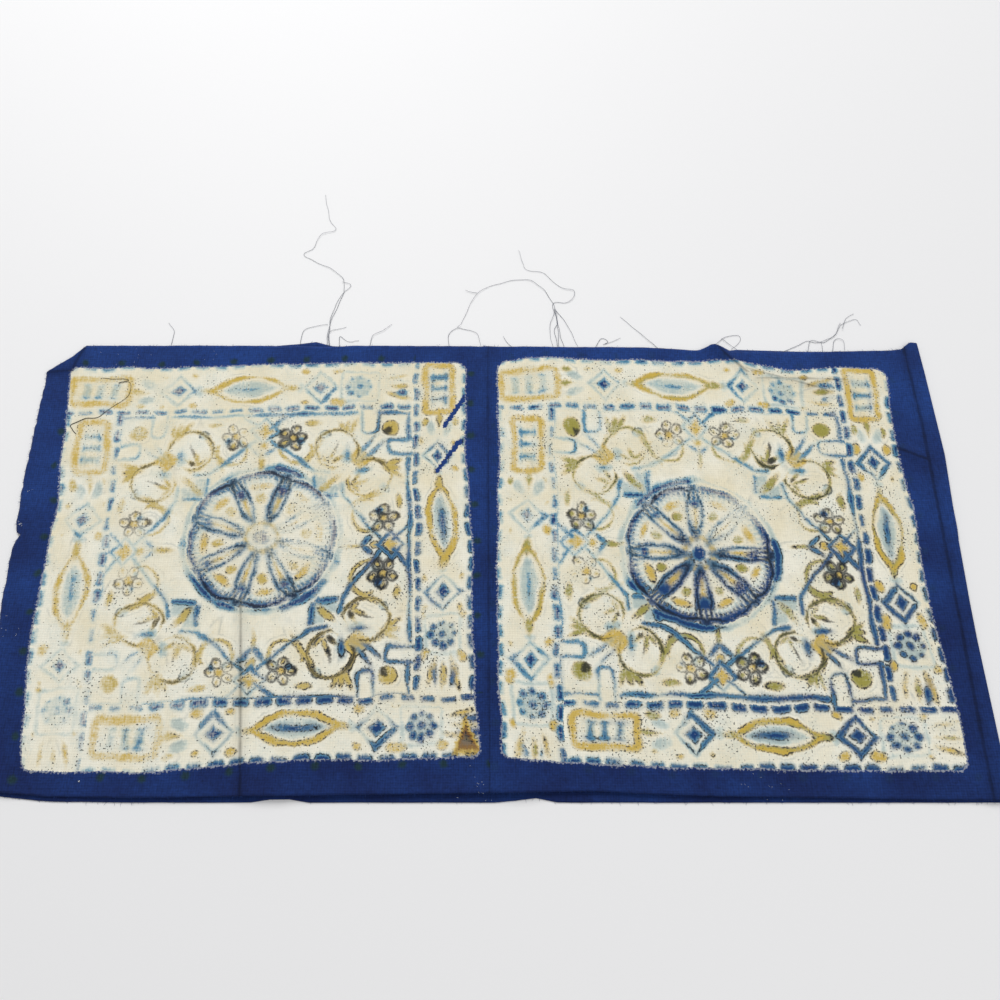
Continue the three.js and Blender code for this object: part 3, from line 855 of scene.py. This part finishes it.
def folded_medallion(add, seen, away, in_right):
    """A place seen from the medallion's middle, folded into half a sector beside a spoke, and how far
    round it lies from the nearest white tooth, as a length."""
    x, y, _ = add("SeparateXYZ", (seen,))
    angle = add("Math ARCTAN2", (y, x))
    left, right = (math.radians(square["turn"]) for square in SQUARES)
    turn = add("Mix", {0: in_right, 2: left, 3: right})
    angle = add("Math SUBTRACT", (angle, turn))
    round_it = add("Math MULTIPLY", (angle, MEDALLION_EDGE))
    tooth = add("Math PINGPONG", (round_it, TOOTH_PITCH / 2))
    angle = add("Math PINGPONG", (angle, math.pi / SPOKES))
    along = add("Math COSINE", (angle,))
    aside = add("Math SINE", (angle,))
    turned = add("CombineXYZ", (along, aside))
    return add("VectorMath SCALE", {0: turned, 3: away}), tooth


def medallion_inks(add, seen, away, in_right, fading):
    """The distance to the nearest motif of each ink in the medallion."""
    folded, tooth = folded_medallion(add, seen, away, in_right)
    found = nearest(add, folded, MEDALLION_MOTIFS, fading)
    tooth = add("Math SUBTRACT", (TOOTH_HALF, tooth))
    below = add("Math SUBTRACT", (TOOTH_TOP, away))
    above = add("Math SUBTRACT", (away, TOOTH_FOOT))
    tooth = add("Math MINIMUM", (tooth, below))
    tooth = add("Math MINIMUM", (tooth, above))
    for ink in ("blue", "pale"):
        found[ink] = add("Math MAXIMUM", (found[ink], tooth))
    return found


def strip_place(add, at):
    """Places along and across the border strip that a place lies in. The back and right strips start at
    the outer edge, the front and left ones at the inner line."""
    x, y, _ = add("SeparateXYZ", (at,))
    folded_x = add("Math ABSOLUTE", (x,))
    beside = add("Math GREATER_THAN", (folded_x, STRIP_INNER))
    side = add("Math SIGN", (x,))
    forward = add("Math MULTIPLY", (side, y))
    short = add("Math GREATER_THAN", (forward, -STRIP_INNER))
    upright = add("Math MULTIPLY", (beside, short))
    down = add("Math MULTIPLY", (y, -1))
    along = add("Mix", {0: upright, 2: x, 3: down})
    facing = add("Mix", {0: upright, 2: y, 3: x})
    outer_start = add("Math GREATER_THAN", (facing, 0))
    start = add("Math MULTIPLY_ADD", (outer_start, SQUARE / 2 - STRIP_SHORT, STRIP_SHORT))
    along = add("Math ADD", (along, start))
    reach = add("Math ABSOLUTE", (facing,))
    across = add("Math SUBTRACT", (reach, STRIP_CENTRE))
    return along, across


def strip_inks(add, strip_at, place, fading):
    """The distance to the nearest motif of each ink in the border strips."""
    along, outwards = strip_at
    across = add("Math ABSOLUTE", (outwards,))
    found = nearest(add, add("CombineXYZ", (along, across)), STRIP_MOTIFS, fading)
    from_middle = add("Math SUBTRACT", (along, STRIP_MIDDLE))
    from_middle = add("Math ABSOLUTE", (from_middle,))
    found = nearest(add, add("CombineXYZ", (from_middle, across)), STRIP_PAIRED_MOTIFS, fading, found)
    in_dash = add("Math WRAP", (along, DASH_PITCH / 2, -DASH_PITCH / 2))
    for line, dashes in ((INNER_DASHES, [INNER_DASH]), (OUTER_DASHES, [OUTER_DASH, OUTER_CORE])):
        beside = add("Math SUBTRACT", (outwards, line))
        found = nearest(add, add("CombineXYZ", (in_dash, beside)), dashes, fading, found)
    return nearest(add, place, MARKS, fading, found)


def overprinted(add, ground, strip_at, in_right, colours):
    """The dyed ground with the dark spots that the olive block's edge left on it round the left square."""
    along, outwards = strip_at
    along = add("Math SUBTRACT", (along, OVERPRINT_START))
    along = add("Math WRAP", (along, DASH_PITCH, -DASH_PITCH))
    beside = add("Math SUBTRACT", (outwards, OVERPRINT_LINE))
    spot = add("VectorMath LENGTH", (add("CombineXYZ", (along, beside)),))
    cover = add("Mix", {0: in_right, 2: 0.9, 3: 0.2})
    return spread(add, ground, colours.overprint, (spot, 5.0, 2.0, 0.0, cover))


def uneven_node(add, at, size, stretch=(1, 1), detail=2.0):
    """A soft unevenness from about -0.5 to 0.5, size across, and a vector of three more."""
    at = add("VectorMath MULTIPLY", (at, (1 / stretch[0], 1 / stretch[1], 0)))
    value, vector = add("TexNoise", {"Vector": at, "Scale": 1 / size, "Detail": detail},
                        noise_dimensions="2D")
    value = add("Math SUBTRACT", (value, 0.5))
    vector = add("VectorMath SUBTRACT", (vector, (0.5, 0.5, 0.5)))
    return value, vector


def painted_crease_shade(add, cut, patch):
    """Painted shade along the sharp creases and the turned-in corner's folds: how much of its brightness the
    cloth keeps along each crease's groove, with a softer painted shade beside it.
    """
    rows = []
    for crease in CREASES:
        (x0, y0), (x1, y1) = crease["start"], crease["end"]
        turn = math.degrees(math.atan2(y1 - y0, x1 - x0))
        half = math.hypot(x1 - x0, y1 - y0) / 2
        rows.append(motif("crease", "bar", (x0 + x1) / 2, (y0 + y1) / 2, half, 0, turn=turn,
                          swell=0.35 + crease["groove"]))
    away = nearest(add, cut, rows, None)["crease"]
    away = add("Math MULTIPLY_ADD", (patch, 3.0, away))
    # A dark painted shade line along each crease's groove, then a softer painted shade beside it
    line = add("MapRange", (away, 1.2, -1.2, 1.0, CREASE_SHADE_KEEPS))
    soft = add("MapRange", (away, 8.0, 0.0, 1.0, 0.86))
    return add("Math MULTIPLY", (line, soft))


def cotton(add, colour, shade, normal):
    colour = add("VectorMath SCALE", {0: colour, 3: shade})
    return add("BsdfPrincipled", {"Base Color": colour, "Roughness": 0.9, "IOR": 1.45, "Normal": normal,
                                  "Specular IOR Level": 0.2, "Sheen Weight": 0.08, "Sheen Roughness": 0.5})


def printed_cotton(cloth, colours):
    """Plain-weave cotton, dyed blue round squares that were printed by hand with wooden blocks. The cream
    cotton shows through worn inks, with ragged, thread-wide edges."""
    material, add = new_material("block_printed_plain_weave_cotton")
    place = add("UVMap", uv_map="print_place")
    place = add("VectorMath SCALE", {0: place, 3: 1 / MM})
    cut = add("UVMap", uv_map="cut_cloth")
    cut = add("VectorMath SCALE", {0: cut, 3: 1 / MM})
    x, _, _ = add("SeparateXYZ", (place,))
    _, cut_y, _ = add("SeparateXYZ", (cut,))
    in_right = add("Math GREATER_THAN", (x, SQUARES_APART / 2))

    # Warp and weft drawn at about four times their real pitch, so that they show
    yarns = {"Vector": cut, "Scale": 0.14, "Distortion": 2.0, "Detail": 1.0, "Detail Scale": 0.6}
    wefts = add("TexWave", yarns, bands_direction="Y")[1]
    warps = add("TexWave", yarns, bands_direction="X")[1]
    weave = add("Math ADD", (wefts, warps))
    bump = add("Bump", {"Strength": 0.35, "Distance": 0.00015, "Height": weave})

    # Hand wobble of the blocks, then steps along the threads
    grain, _ = uneven_node(add, place, GRAIN, detail=1.0)
    patch, _ = uneven_node(add, place, PATCH, detail=3.0)
    fading, drift = uneven_node(add, place, DRIFT)
    _, wobble = uneven_node(add, place, WOBBLE)
    along_weft, _ = uneven_node(add, place, YARN_STEP, stretch=(4, 1))
    along_warp, _ = uneven_node(add, place, YARN_STEP, stretch=(1, 4))
    steps = add("CombineXYZ", (along_weft, along_warp))
    shift = add("Math MULTIPLY", (in_right, -SQUARES_APART))
    at = add("VectorMath ADD", (place, add("CombineXYZ", (shift,))))
    ragged = add("VectorMath MULTIPLY_ADD", (steps, (2.4, 2.4, 0), at))
    bent = add("VectorMath MULTIPLY_ADD", (wobble, (8, 8, 0), ragged))
    place_bent = add("VectorMath MULTIPLY_ADD", (steps, (5, 5, 0), place))

    # The blocks pressed harder towards the front right. Ragged edges, then the cover that is left.
    at_x, at_y, _ = add("SeparateXYZ", (at,))
    press = add("Math SUBTRACT", (at_x, at_y))
    fading = weighted(add, fading, (press, -0.0003))
    lost = lost_ink(add, place)
    fading = weighted(add, fading, (lost, 0.5))
    fading = add("Math MAXIMUM", (fading, -0.06))
    streaks = add("Math ADD", (along_weft, along_warp))
    worn = weighted(add, 0.0, (grain, 1.2), (patch, 2.6))
    wear = weighted(add, 0.84, (streaks, -0.7), (grain, -0.6), (patch, -1.6), (press, 0.0004), (lost, -1.0),
                    (weave, 0.1), clamped=True)
    wear = weighted(add, wear, (in_right, 0.1))
    wear = add("Math SUBTRACT", (wear, 0.07), use_clamp=True)
    threads = weighted(add, 0.965, (weave, 0.035), (streaks, 0.12), (grain, 0.12))
    shade = add("Math MULTIPLY_ADD", (threads, 4.0, -3.0))
    # Painted shade along the creases: kept is the share of brightness left there, on every colour of the cloth
    kept = painted_crease_shade(add, cut, patch)
    threads = add("Math MULTIPLY", (threads, kept))
    shade = add("Math MULTIPLY", (shade, kept))

    # Specks, the cream yellower in patches and towards the back, and how far each ink is outlined, doubled,
    # golden or thick
    drift_a, drift_b, _ = add("SeparateXYZ", (drift,))
    specks, _ = uneven_node(add, place, SPECK, detail=0.0)
    specks = add("Math ADD", (specks, 0.5))
    specks = weighted(add, specks, (patch, 0.4), (streaks, 0.25), (in_right, 0.03), (press, 0.00012),
                      (drift_b, 0.35))
    # The cream turns yellower in patches and towards the back
    cream_tint = weighted(add, drift_a, (at_y, 0.0005))
    cream = spread(add, (*colours.cream, 1), colours.cream_deep, (cream_tint, -0.16, 0.24, 0.0, 0.9))
    tinged = weighted(add, patch, (grain, 0.8))
    cream = spread(add, cream, colours.teal, (tinged, -0.02, 0.3, 0.0, 0.2))
    outlined = weighted(add, grain, (patch, -1.0), (press, 0.0007), (lost, -0.7))
    outlined = add("MapRange", (outlined, 0.0, 0.3, 0.0, 1.0))
    ghost = add("MapRange", (patch, -0.2, 0.0, 0.3, 0.0))
    golden = weighted(add, 0.75, (in_right, -0.6))
    deep = weighted(add, 0.16, (press, 0.0022), (patch, 1.6), (lost, -0.8), (in_right, 0.12), clamped=True)
    thick = weighted(add, wear, (deep, 0.4), clamped=True)
    firm = add("Math ADD", (wear, 0.04), use_clamp=True)
    wear = {"slip": 1.0, "stain": 1.0, "blue": thick, "dark": thick, "gold": firm, "other": wear}
    toward = {"olive": (golden, "mustard"), "blue": (deep, "dark_blue")}
    look = dict(cream=cream, worn=worn, wear=wear, specks=specks, outlined=outlined, ghost=ghost, toward=toward)

    middle = by_square(add, in_right, "medallion")
    seen = add("VectorMath SUBTRACT", (bent, middle))
    away = add("VectorMath LENGTH", (seen,))
    medallion = medallion_inks(add, seen, away, in_right, fading)
    navy = add("Math ADD", (deep, 0.42), use_clamp=True)
    navy = dict(look, toward=dict(toward, blue=(navy, "dark_blue")))
    medallion = cotton(add, printed_colour(add, medallion, navy, colours), threads, bump)

    in_field = add("VectorMath SUBTRACT", (bent, by_square(add, in_right, "field")))
    folded, _ = folded_field(add, in_field)
    field = nearest(add, folded, FIELD_MOTIFS, fading)
    field = nearest(add, seen, RIM_MOTIFS, fading, field)
    field = cotton(add, printed_colour(add, field, look, colours), threads, bump)
    in_medallion = add("Math LESS_THAN", (away, MEDALLION_EDGE))
    field = add("MixShader", (in_medallion, field, medallion))

    strip_at = strip_place(add, bent)
    strip = strip_inks(add, strip_at, place_bent, fading)
    strip = cotton(add, printed_colour(add, strip, look, colours), threads, bump)
    _, reach = folded_field(add, bent)
    in_strip = add("Math GREATER_THAN", (reach, STRIP_INNER))
    square = add("MixShader", (in_strip, field, strip))

    # The square's ragged edge, and the dyed ground round it, which is darker towards the front
    outside = past_square(add, wobble, ragged)
    mottle, _ = uneven_node(add, cut, MOTTLE, detail=6.0)
    # Darker towards the front and paler towards the back, with mottling
    to_back = add("MapRange", (cut_y, 0.0, DEPTH, 0.2, 0.75))
    to_back = weighted(add, to_back, (mottle, 1.5), clamped=True)
    ground = add("Mix", {0: to_back, 6: (*colours.ground_deep, 1), 7: (*colours.ground, 1)},
                 data_type="RGBA")
    rim = weighted(add, off_line(add, outside, 0.6), (grain, 5.0))
    ground = spread(add, ground, colours.lint, (rim, 1.2, 0.0, 0.0, 0.4))
    ground = overprinted(add, ground, strip_at, in_right, colours)
    dyed = add("Math GREATER_THAN", (outside, 0.0))
    whole = add("MixShader", (dyed, square, cotton(add, ground, shade, bump)))
    add("OutputMaterial", {"Surface": whole})
    return material


def lost_ink(add, place):
    """How much of its cover the ink has lost, in the worn areas and everywhere."""
    lost = EVERYWHERE_LOST
    for area in WORN_AREAS:
        off = add("VectorMath DISTANCE", (place, (area["x"], area["y"], 0)))
        loss = add("MapRange", (off, area["reach"], area["reach"] * 0.3, 0.0, area["loss"]))
        lost = add("Math ADD", (loss, lost))
    return lost


def past_square(add, wobble, ragged):
    """How far a place lies past the square's side or its rounded corner."""
    edge_at = add("VectorMath MULTIPLY_ADD", (wobble, (5, 5, 0), ragged))
    edge_at = add("VectorMath ABSOLUTE", (edge_at,))
    round_from = SQUARE / 2 - SQUARE_ROUNDING
    corner = add("VectorMath SUBTRACT", (edge_at, (round_from, round_from, 0)))
    corner = add("VectorMath MAXIMUM", (corner, (0, 0, 0)))
    outside = add("VectorMath LENGTH", (corner,))
    return add("Math SUBTRACT", (outside, SQUARE_ROUNDING))


def loose_cotton(name, colour):
    """Single-ply cotton sewing-fine thread, twisted and matt, which the light catches along its fibres."""
    material, add = new_material(name)
    at = add("TexCoord")[3]
    shade = add("TexNoise", {"Vector": at, "Scale": 240.0, "Detail": 2.0})[0]
    shade = add("MapRange", (shade, 0.3, 0.7, 0.7, 1.3))
    tint = add("VectorMath SCALE", {0: tuple(colour), 3: shade})
    surface = add("BsdfPrincipled", {"Base Color": tint, "Roughness": 0.8, "Specular IOR Level": 0.3})
    add("OutputMaterial", {"Surface": surface})
    return material


def smooth_route(points, step):
    """Points at even steps along a smooth curve through the given ones."""
    points = np.asarray(points, float)
    ends = np.vstack([2 * points[0] - points[1], points, 2 * points[-1] - points[-2]])
    route = []
    for k in range(1, len(ends) - 2):
        p0, p1, p2, p3 = ends[k - 1:k + 3]
        count = max(2, int(np.linalg.norm(p2 - p1) / step))
        t = np.linspace(0, 1, count, endpoint=False)[:, None]
        route.append(0.5 * (2 * p1 + (p2 - p0) * t + (2 * p0 - 5 * p1 + 4 * p2 - p3) * t ** 2
                            + (3 * p1 - p0 - 3 * p2 + p3) * t ** 3))
    return np.vstack([*route, points[-1:]])


def tube(route, radii, sides):
    """Points and faces of a closed tube along a route, with a radius at each of its points."""
    heading = np.gradient(route, axis=0)
    heading /= np.linalg.norm(heading, axis=1)[:, None]
    aside = np.cross(heading, (0, 0, 1.0))
    aside /= np.maximum(np.linalg.norm(aside, axis=1)[:, None], 1e-9)
    up = np.cross(aside, heading)
    turns = 2 * np.pi * np.arange(sides) / sides
    ring = np.cos(turns)[None, :, None] * aside[:, None] + np.sin(turns)[None, :, None] * up[:, None]
    points = (route[:, None] + ring * np.asarray(radii)[:, None, None]).reshape(-1, 3)
    faces = []
    for k in range(len(route) - 1):
        for s in range(sides):
            a, b = k * sides + s, k * sides + (s + 1) % sides
            faces.append((a, a + sides, b + sides, b))
    faces.append(tuple(range(sides)))
    faces.append(tuple(reversed(range((len(route) - 1) * sides, len(route) * sides))))
    return points, faces


def join_tubes(tubes):
    points, faces, offset = [], [], 0
    for some_points, some_faces in tubes:
        points.append(some_points)
        faces.extend(tuple(i + offset for i in face) for face in some_faces)
        offset += len(some_points)
    return np.vstack(points), faces


def build_threads(colours):
    """Every group of loose threads behind the back edge."""
    rng = np.random.default_rng(11)
    material = loose_cotton("loose_cotton_thread", colours.thread)
    for number, strands in enumerate(THREADS, 1):
        tubes = []
        for strand in strands:
            route = smooth_route(np.array(strand), 1.5)
            gone = np.linspace(0, 1, len(route))
            sway = 0.35 * np.sin(gone[:, None] * len(route) * 0.45 + rng.uniform(0, 6, 2))
            low = 0.25 + 0.5 * np.maximum(0, np.sin(gone * len(route) * 0.13 + rng.uniform(0, 6)))
            rooted = 1 - smooth(gone * len(route) / 5)
            high = low + rooted * 0.6
            route = np.column_stack([route + sway, high])
            radii = THREAD_RADIUS * (1 - 0.4 * gone)
            tubes.append(tube(to_frame(route), radii * MM, 5))
        piece = ride_free(f"loose_threads_{number}", tubes, material)
        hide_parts(f"ravelled_threads_{number}")


def build_frays(cloth, colours):
    """Short fibres that stand out of the raw edges of both layers."""
    rng = np.random.default_rng(23)
    middle = cloth_sections(cloth)
    top = LOWER_COLUMNS + FOLD_COLUMNS
    edges = ((middle[:, -1], (-1, 0), 260), (middle[:, 0], (-1, 0), 120),
             (middle[-1, top:], (0, 1), 200), (middle[-1, :LOWER_COLUMNS], (0, 1), 80),
             (middle[0, top:], (0, -1), 160), (middle[0, :LOWER_COLUMNS], (0, -1), 110))
    tubes = []
    for edge, outwards, count in edges:
        for place in rng.uniform(0, len(edge) - 1, count):
            root = np.array([np.interp(place, np.arange(len(edge)), edge[:, k]) for k in range(3)])
            lean = rng.normal(0, 0.5)
            heading = np.array([outwards[0] * math.cos(lean) - outwards[1] * math.sin(lean),
                                outwards[0] * math.sin(lean) + outwards[1] * math.cos(lean), 0])
            aside = np.array([-heading[1], heading[0], 0]) * rng.normal(0, 0.25)
            length = 0.7 + 2.4 * rng.random() ** 2
            droop = (0, 0, -0.4 * rng.random() * (root[2] - 0.2))
            route = np.array([root - heading * 0.4, root + heading * length * 0.5,
                              root + (heading + aside) * length + droop])
            tubes.append(tube(to_frame(route), np.array([0.14, 0.11, 0.04]) * MM, 3))
    return ride_free("frayed_edge_fibres", tubes, loose_cotton("frayed_blue_cotton", colours.ground))


def build_stray(cloth, colours):
    """The dark thread that lies curled on the print."""
    route = smooth_route(STRAY_THREAD, 1.2)
    gone = np.linspace(0, 1, len(route))
    rng = np.random.default_rng(31)
    route = route + 0.3 * np.sin(gone[:, None] * len(route) * 0.5 + rng.uniform(0, 6, 2))
    high = top_surface(cloth, route) + 0.25 + 0.25 * np.sin(gone * 17) ** 2
    radii = (0.2 + 0.16 * smooth((gone - 0.6) / 0.2)) * MM
    tubes = [tube(to_frame(np.column_stack([route, high])), radii, 5)]
    return ride_free("stray_thread", tubes, loose_cotton("stray_cotton_thread", colours.stray))


def build_lint(cloth, colours):
    """Pale specks of lint that lie on the dyed ground, and pale fibres at the nick in the left end."""
    rng = np.random.default_rng(37)
    tubes = []
    for fleck in LINT:
        for _ in range(fleck["count"]):
            start = np.array(fleck["at"]) + rng.normal(0, fleck["spread"], 2)
            turn = rng.uniform(0, 2 * math.pi)
            bend = rng.normal(0, 0.7)
            step = fleck["length"] / 2
            route = [start]
            for heading in (turn, turn + bend):
                route.append(route[-1] + step * np.array([math.cos(heading), math.sin(heading)]))
            route = np.array(route)
            high = top_surface(cloth, route) + fleck["thick"] * 1.1
            radii = np.array([0.6, 1.0, 0.5]) * fleck["thick"] * MM
            tubes.append(tube(to_frame(np.column_stack([route, high])), radii, 4))
    return ride_free("lint", tubes, loose_cotton("pale_cotton_lint", colours.lint))


def top_surface(cloth, route):
    """Height of the upper layer's outer face under a route on the plan."""
    x, y = route[:, 0], route[:, 1]
    fold_start = read_table(ENDS, "y", y, "right") - (cloth.fold_radius + cloth.sheet / 2) / MM
    return upper_height(cloth, x, y, fold_start) + cloth.sheet / 2 / MM


def ride_free(name, tubes, material):
    piece = make_object(name, *join_tubes(tubes), material)
    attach(piece, "root")
    return piece


class TEXTILE_OT_cloth(bpy.types.Operator):
    """Builds the folded, block-printed cloth"""
    bl_idname = "textile.folded_cloth"
    bl_label = "Folded Printed Cloth"

    def execute(self, context):
        piece, flat = build_cloth(context.scene.cloth_sizes, context.scene.cloth_colours)
        return {"FINISHED"}


class TEXTILE_OT_threads(bpy.types.Operator):
    """Builds the loose threads behind the back edge"""
    bl_idname = "textile.loose_threads"
    bl_label = "Loose Threads"

    def execute(self, context):
        build_threads(context.scene.cloth_colours)
        return {"FINISHED"}


class TEXTILE_OT_frays(bpy.types.Operator):
    """Builds the short fibres along the raw edges"""
    bl_idname = "textile.frayed_fibres"
    bl_label = "Frayed Fibres"

    def execute(self, context):
        build_frays(context.scene.cloth_sizes, context.scene.cloth_colours)
        return {"FINISHED"}


class TEXTILE_OT_stray(bpy.types.Operator):
    """Builds the stray thread that lies on the print"""
    bl_idname = "textile.stray_thread"
    bl_label = "Stray Thread"

    def execute(self, context):
        build_stray(context.scene.cloth_sizes, context.scene.cloth_colours)
        return {"FINISHED"}


class TEXTILE_OT_lint(bpy.types.Operator):
    """Builds the lint on the dyed ground"""
    bl_idname = "textile.lint"
    bl_label = "Lint"

    def execute(self, context):
        build_lint(context.scene.cloth_sizes, context.scene.cloth_colours)
        return {"FINISHED"}


class TEXTILE_OT_stage(bpy.types.Operator):
    """Adds the plain floor, the soft light and the camera"""
    bl_idname = "textile.stage"
    bl_label = "Stage"

    def execute(self, context):
        scene = context.scene
        stage = scene.stage_settings
        bpy.ops.object.select_all(action="DESELECT")
        bpy.ops.mesh.primitive_plane_add(size=FLOOR_SIZE, location=(0, 0, CLOTH_LOWEST[2] - 0.3 * MM))
        floor = context.object
        floor.name = "floor"
        material, add = new_material("plain_pale_floor")
        surface = add("BsdfPrincipled", {"Base Color": (*stage.floor, 1), "Roughness": 0.6})
        add("OutputMaterial", {"Surface": surface})
        floor.data.materials.append(material)

        world = bpy.data.worlds.new("soft_room")
        world.use_nodes = True
        world.node_tree.nodes["Background"].inputs["Color"].default_value = (1, 1, 1, 1)
        world.node_tree.nodes["Background"].inputs["Strength"].default_value = ROOM_LIGHT
        scene.world = world
        for row in LAMPS:
            light = bpy.data.lights.new(row["name"], "AREA")
            light.size = row["size"]
            light.energy = row["power"]
            lamp = bpy.data.objects.new(row["name"], light)
            lamp.location = row["place"]
            scene.collection.objects.link(lamp)
            aim(lamp, (0, 0, 0))

        lens = bpy.data.cameras.new("photo_camera")
        lens.sensor_width = 36
        lens.lens = stage.focal_share * lens.sensor_width
        camera = bpy.data.objects.new("photo_camera", lens)
        camera.location = (PLAN_X, PLAN_Y - stage.camera_back, CLOTH_LOWEST[2] + stage.camera_height)
        camera.rotation_euler = (math.pi / 2 - stage.pitch, 0, 0)
        scene.collection.objects.link(camera)
        scene.camera = camera
        scene.view_settings.view_transform = "Standard"
        return {"FINISHED"}


def aim(lamp, target):
    """Turns a lamp so that it shines at the target."""
    way = np.array(target, float) - np.array(lamp.location)
    flat = math.hypot(way[0], way[1])
    lamp.rotation_euler = (math.atan2(flat, -way[2]), 0, math.atan2(-way[0], way[1]))


class TEXTILE_PT_panel(bpy.types.Panel):
    """Lists the steps that build the cotton panel"""
    bl_label = "Cotton Panel"
    bl_idname = "TEXTILE_PT_panel"
    bl_space_type = "VIEW_3D"
    bl_region_type = "UI"
    bl_category = "Cotton Panel"

    def draw(self, context):
        for step in STEPS:
            self.layout.operator(step.bl_idname)


GROUPS = {"cloth_sizes": ClothSizes, "cloth_colours": ClothColours, "stage_settings": StageSettings}
STEPS = (TEXTILE_OT_stage, TEXTILE_OT_threads, TEXTILE_OT_frays, TEXTILE_OT_stray, TEXTILE_OT_lint,
         TEXTILE_OT_cloth)


def register():
    for kind in (*GROUPS.values(), *STEPS, TEXTILE_PT_panel):
        bpy.utils.register_class(kind)
    for name, kind in GROUPS.items():
        setattr(bpy.types.Scene, name, bpy.props.PointerProperty(type=kind))


def unregister():
    for name in GROUPS:
        delattr(bpy.types.Scene, name)
    for kind in reversed((*GROUPS.values(), *STEPS, TEXTILE_PT_panel)):
        bpy.utils.unregister_class(kind)


def main():
    register()
    bpy.ops.textile.stage()
    bpy.ops.textile.loose_threads()
    bpy.ops.textile.frayed_fibres()
    bpy.ops.textile.stray_thread()
    bpy.ops.textile.lint()
    bpy.ops.textile.folded_cloth()


if __name__ == "__main__":
    main()
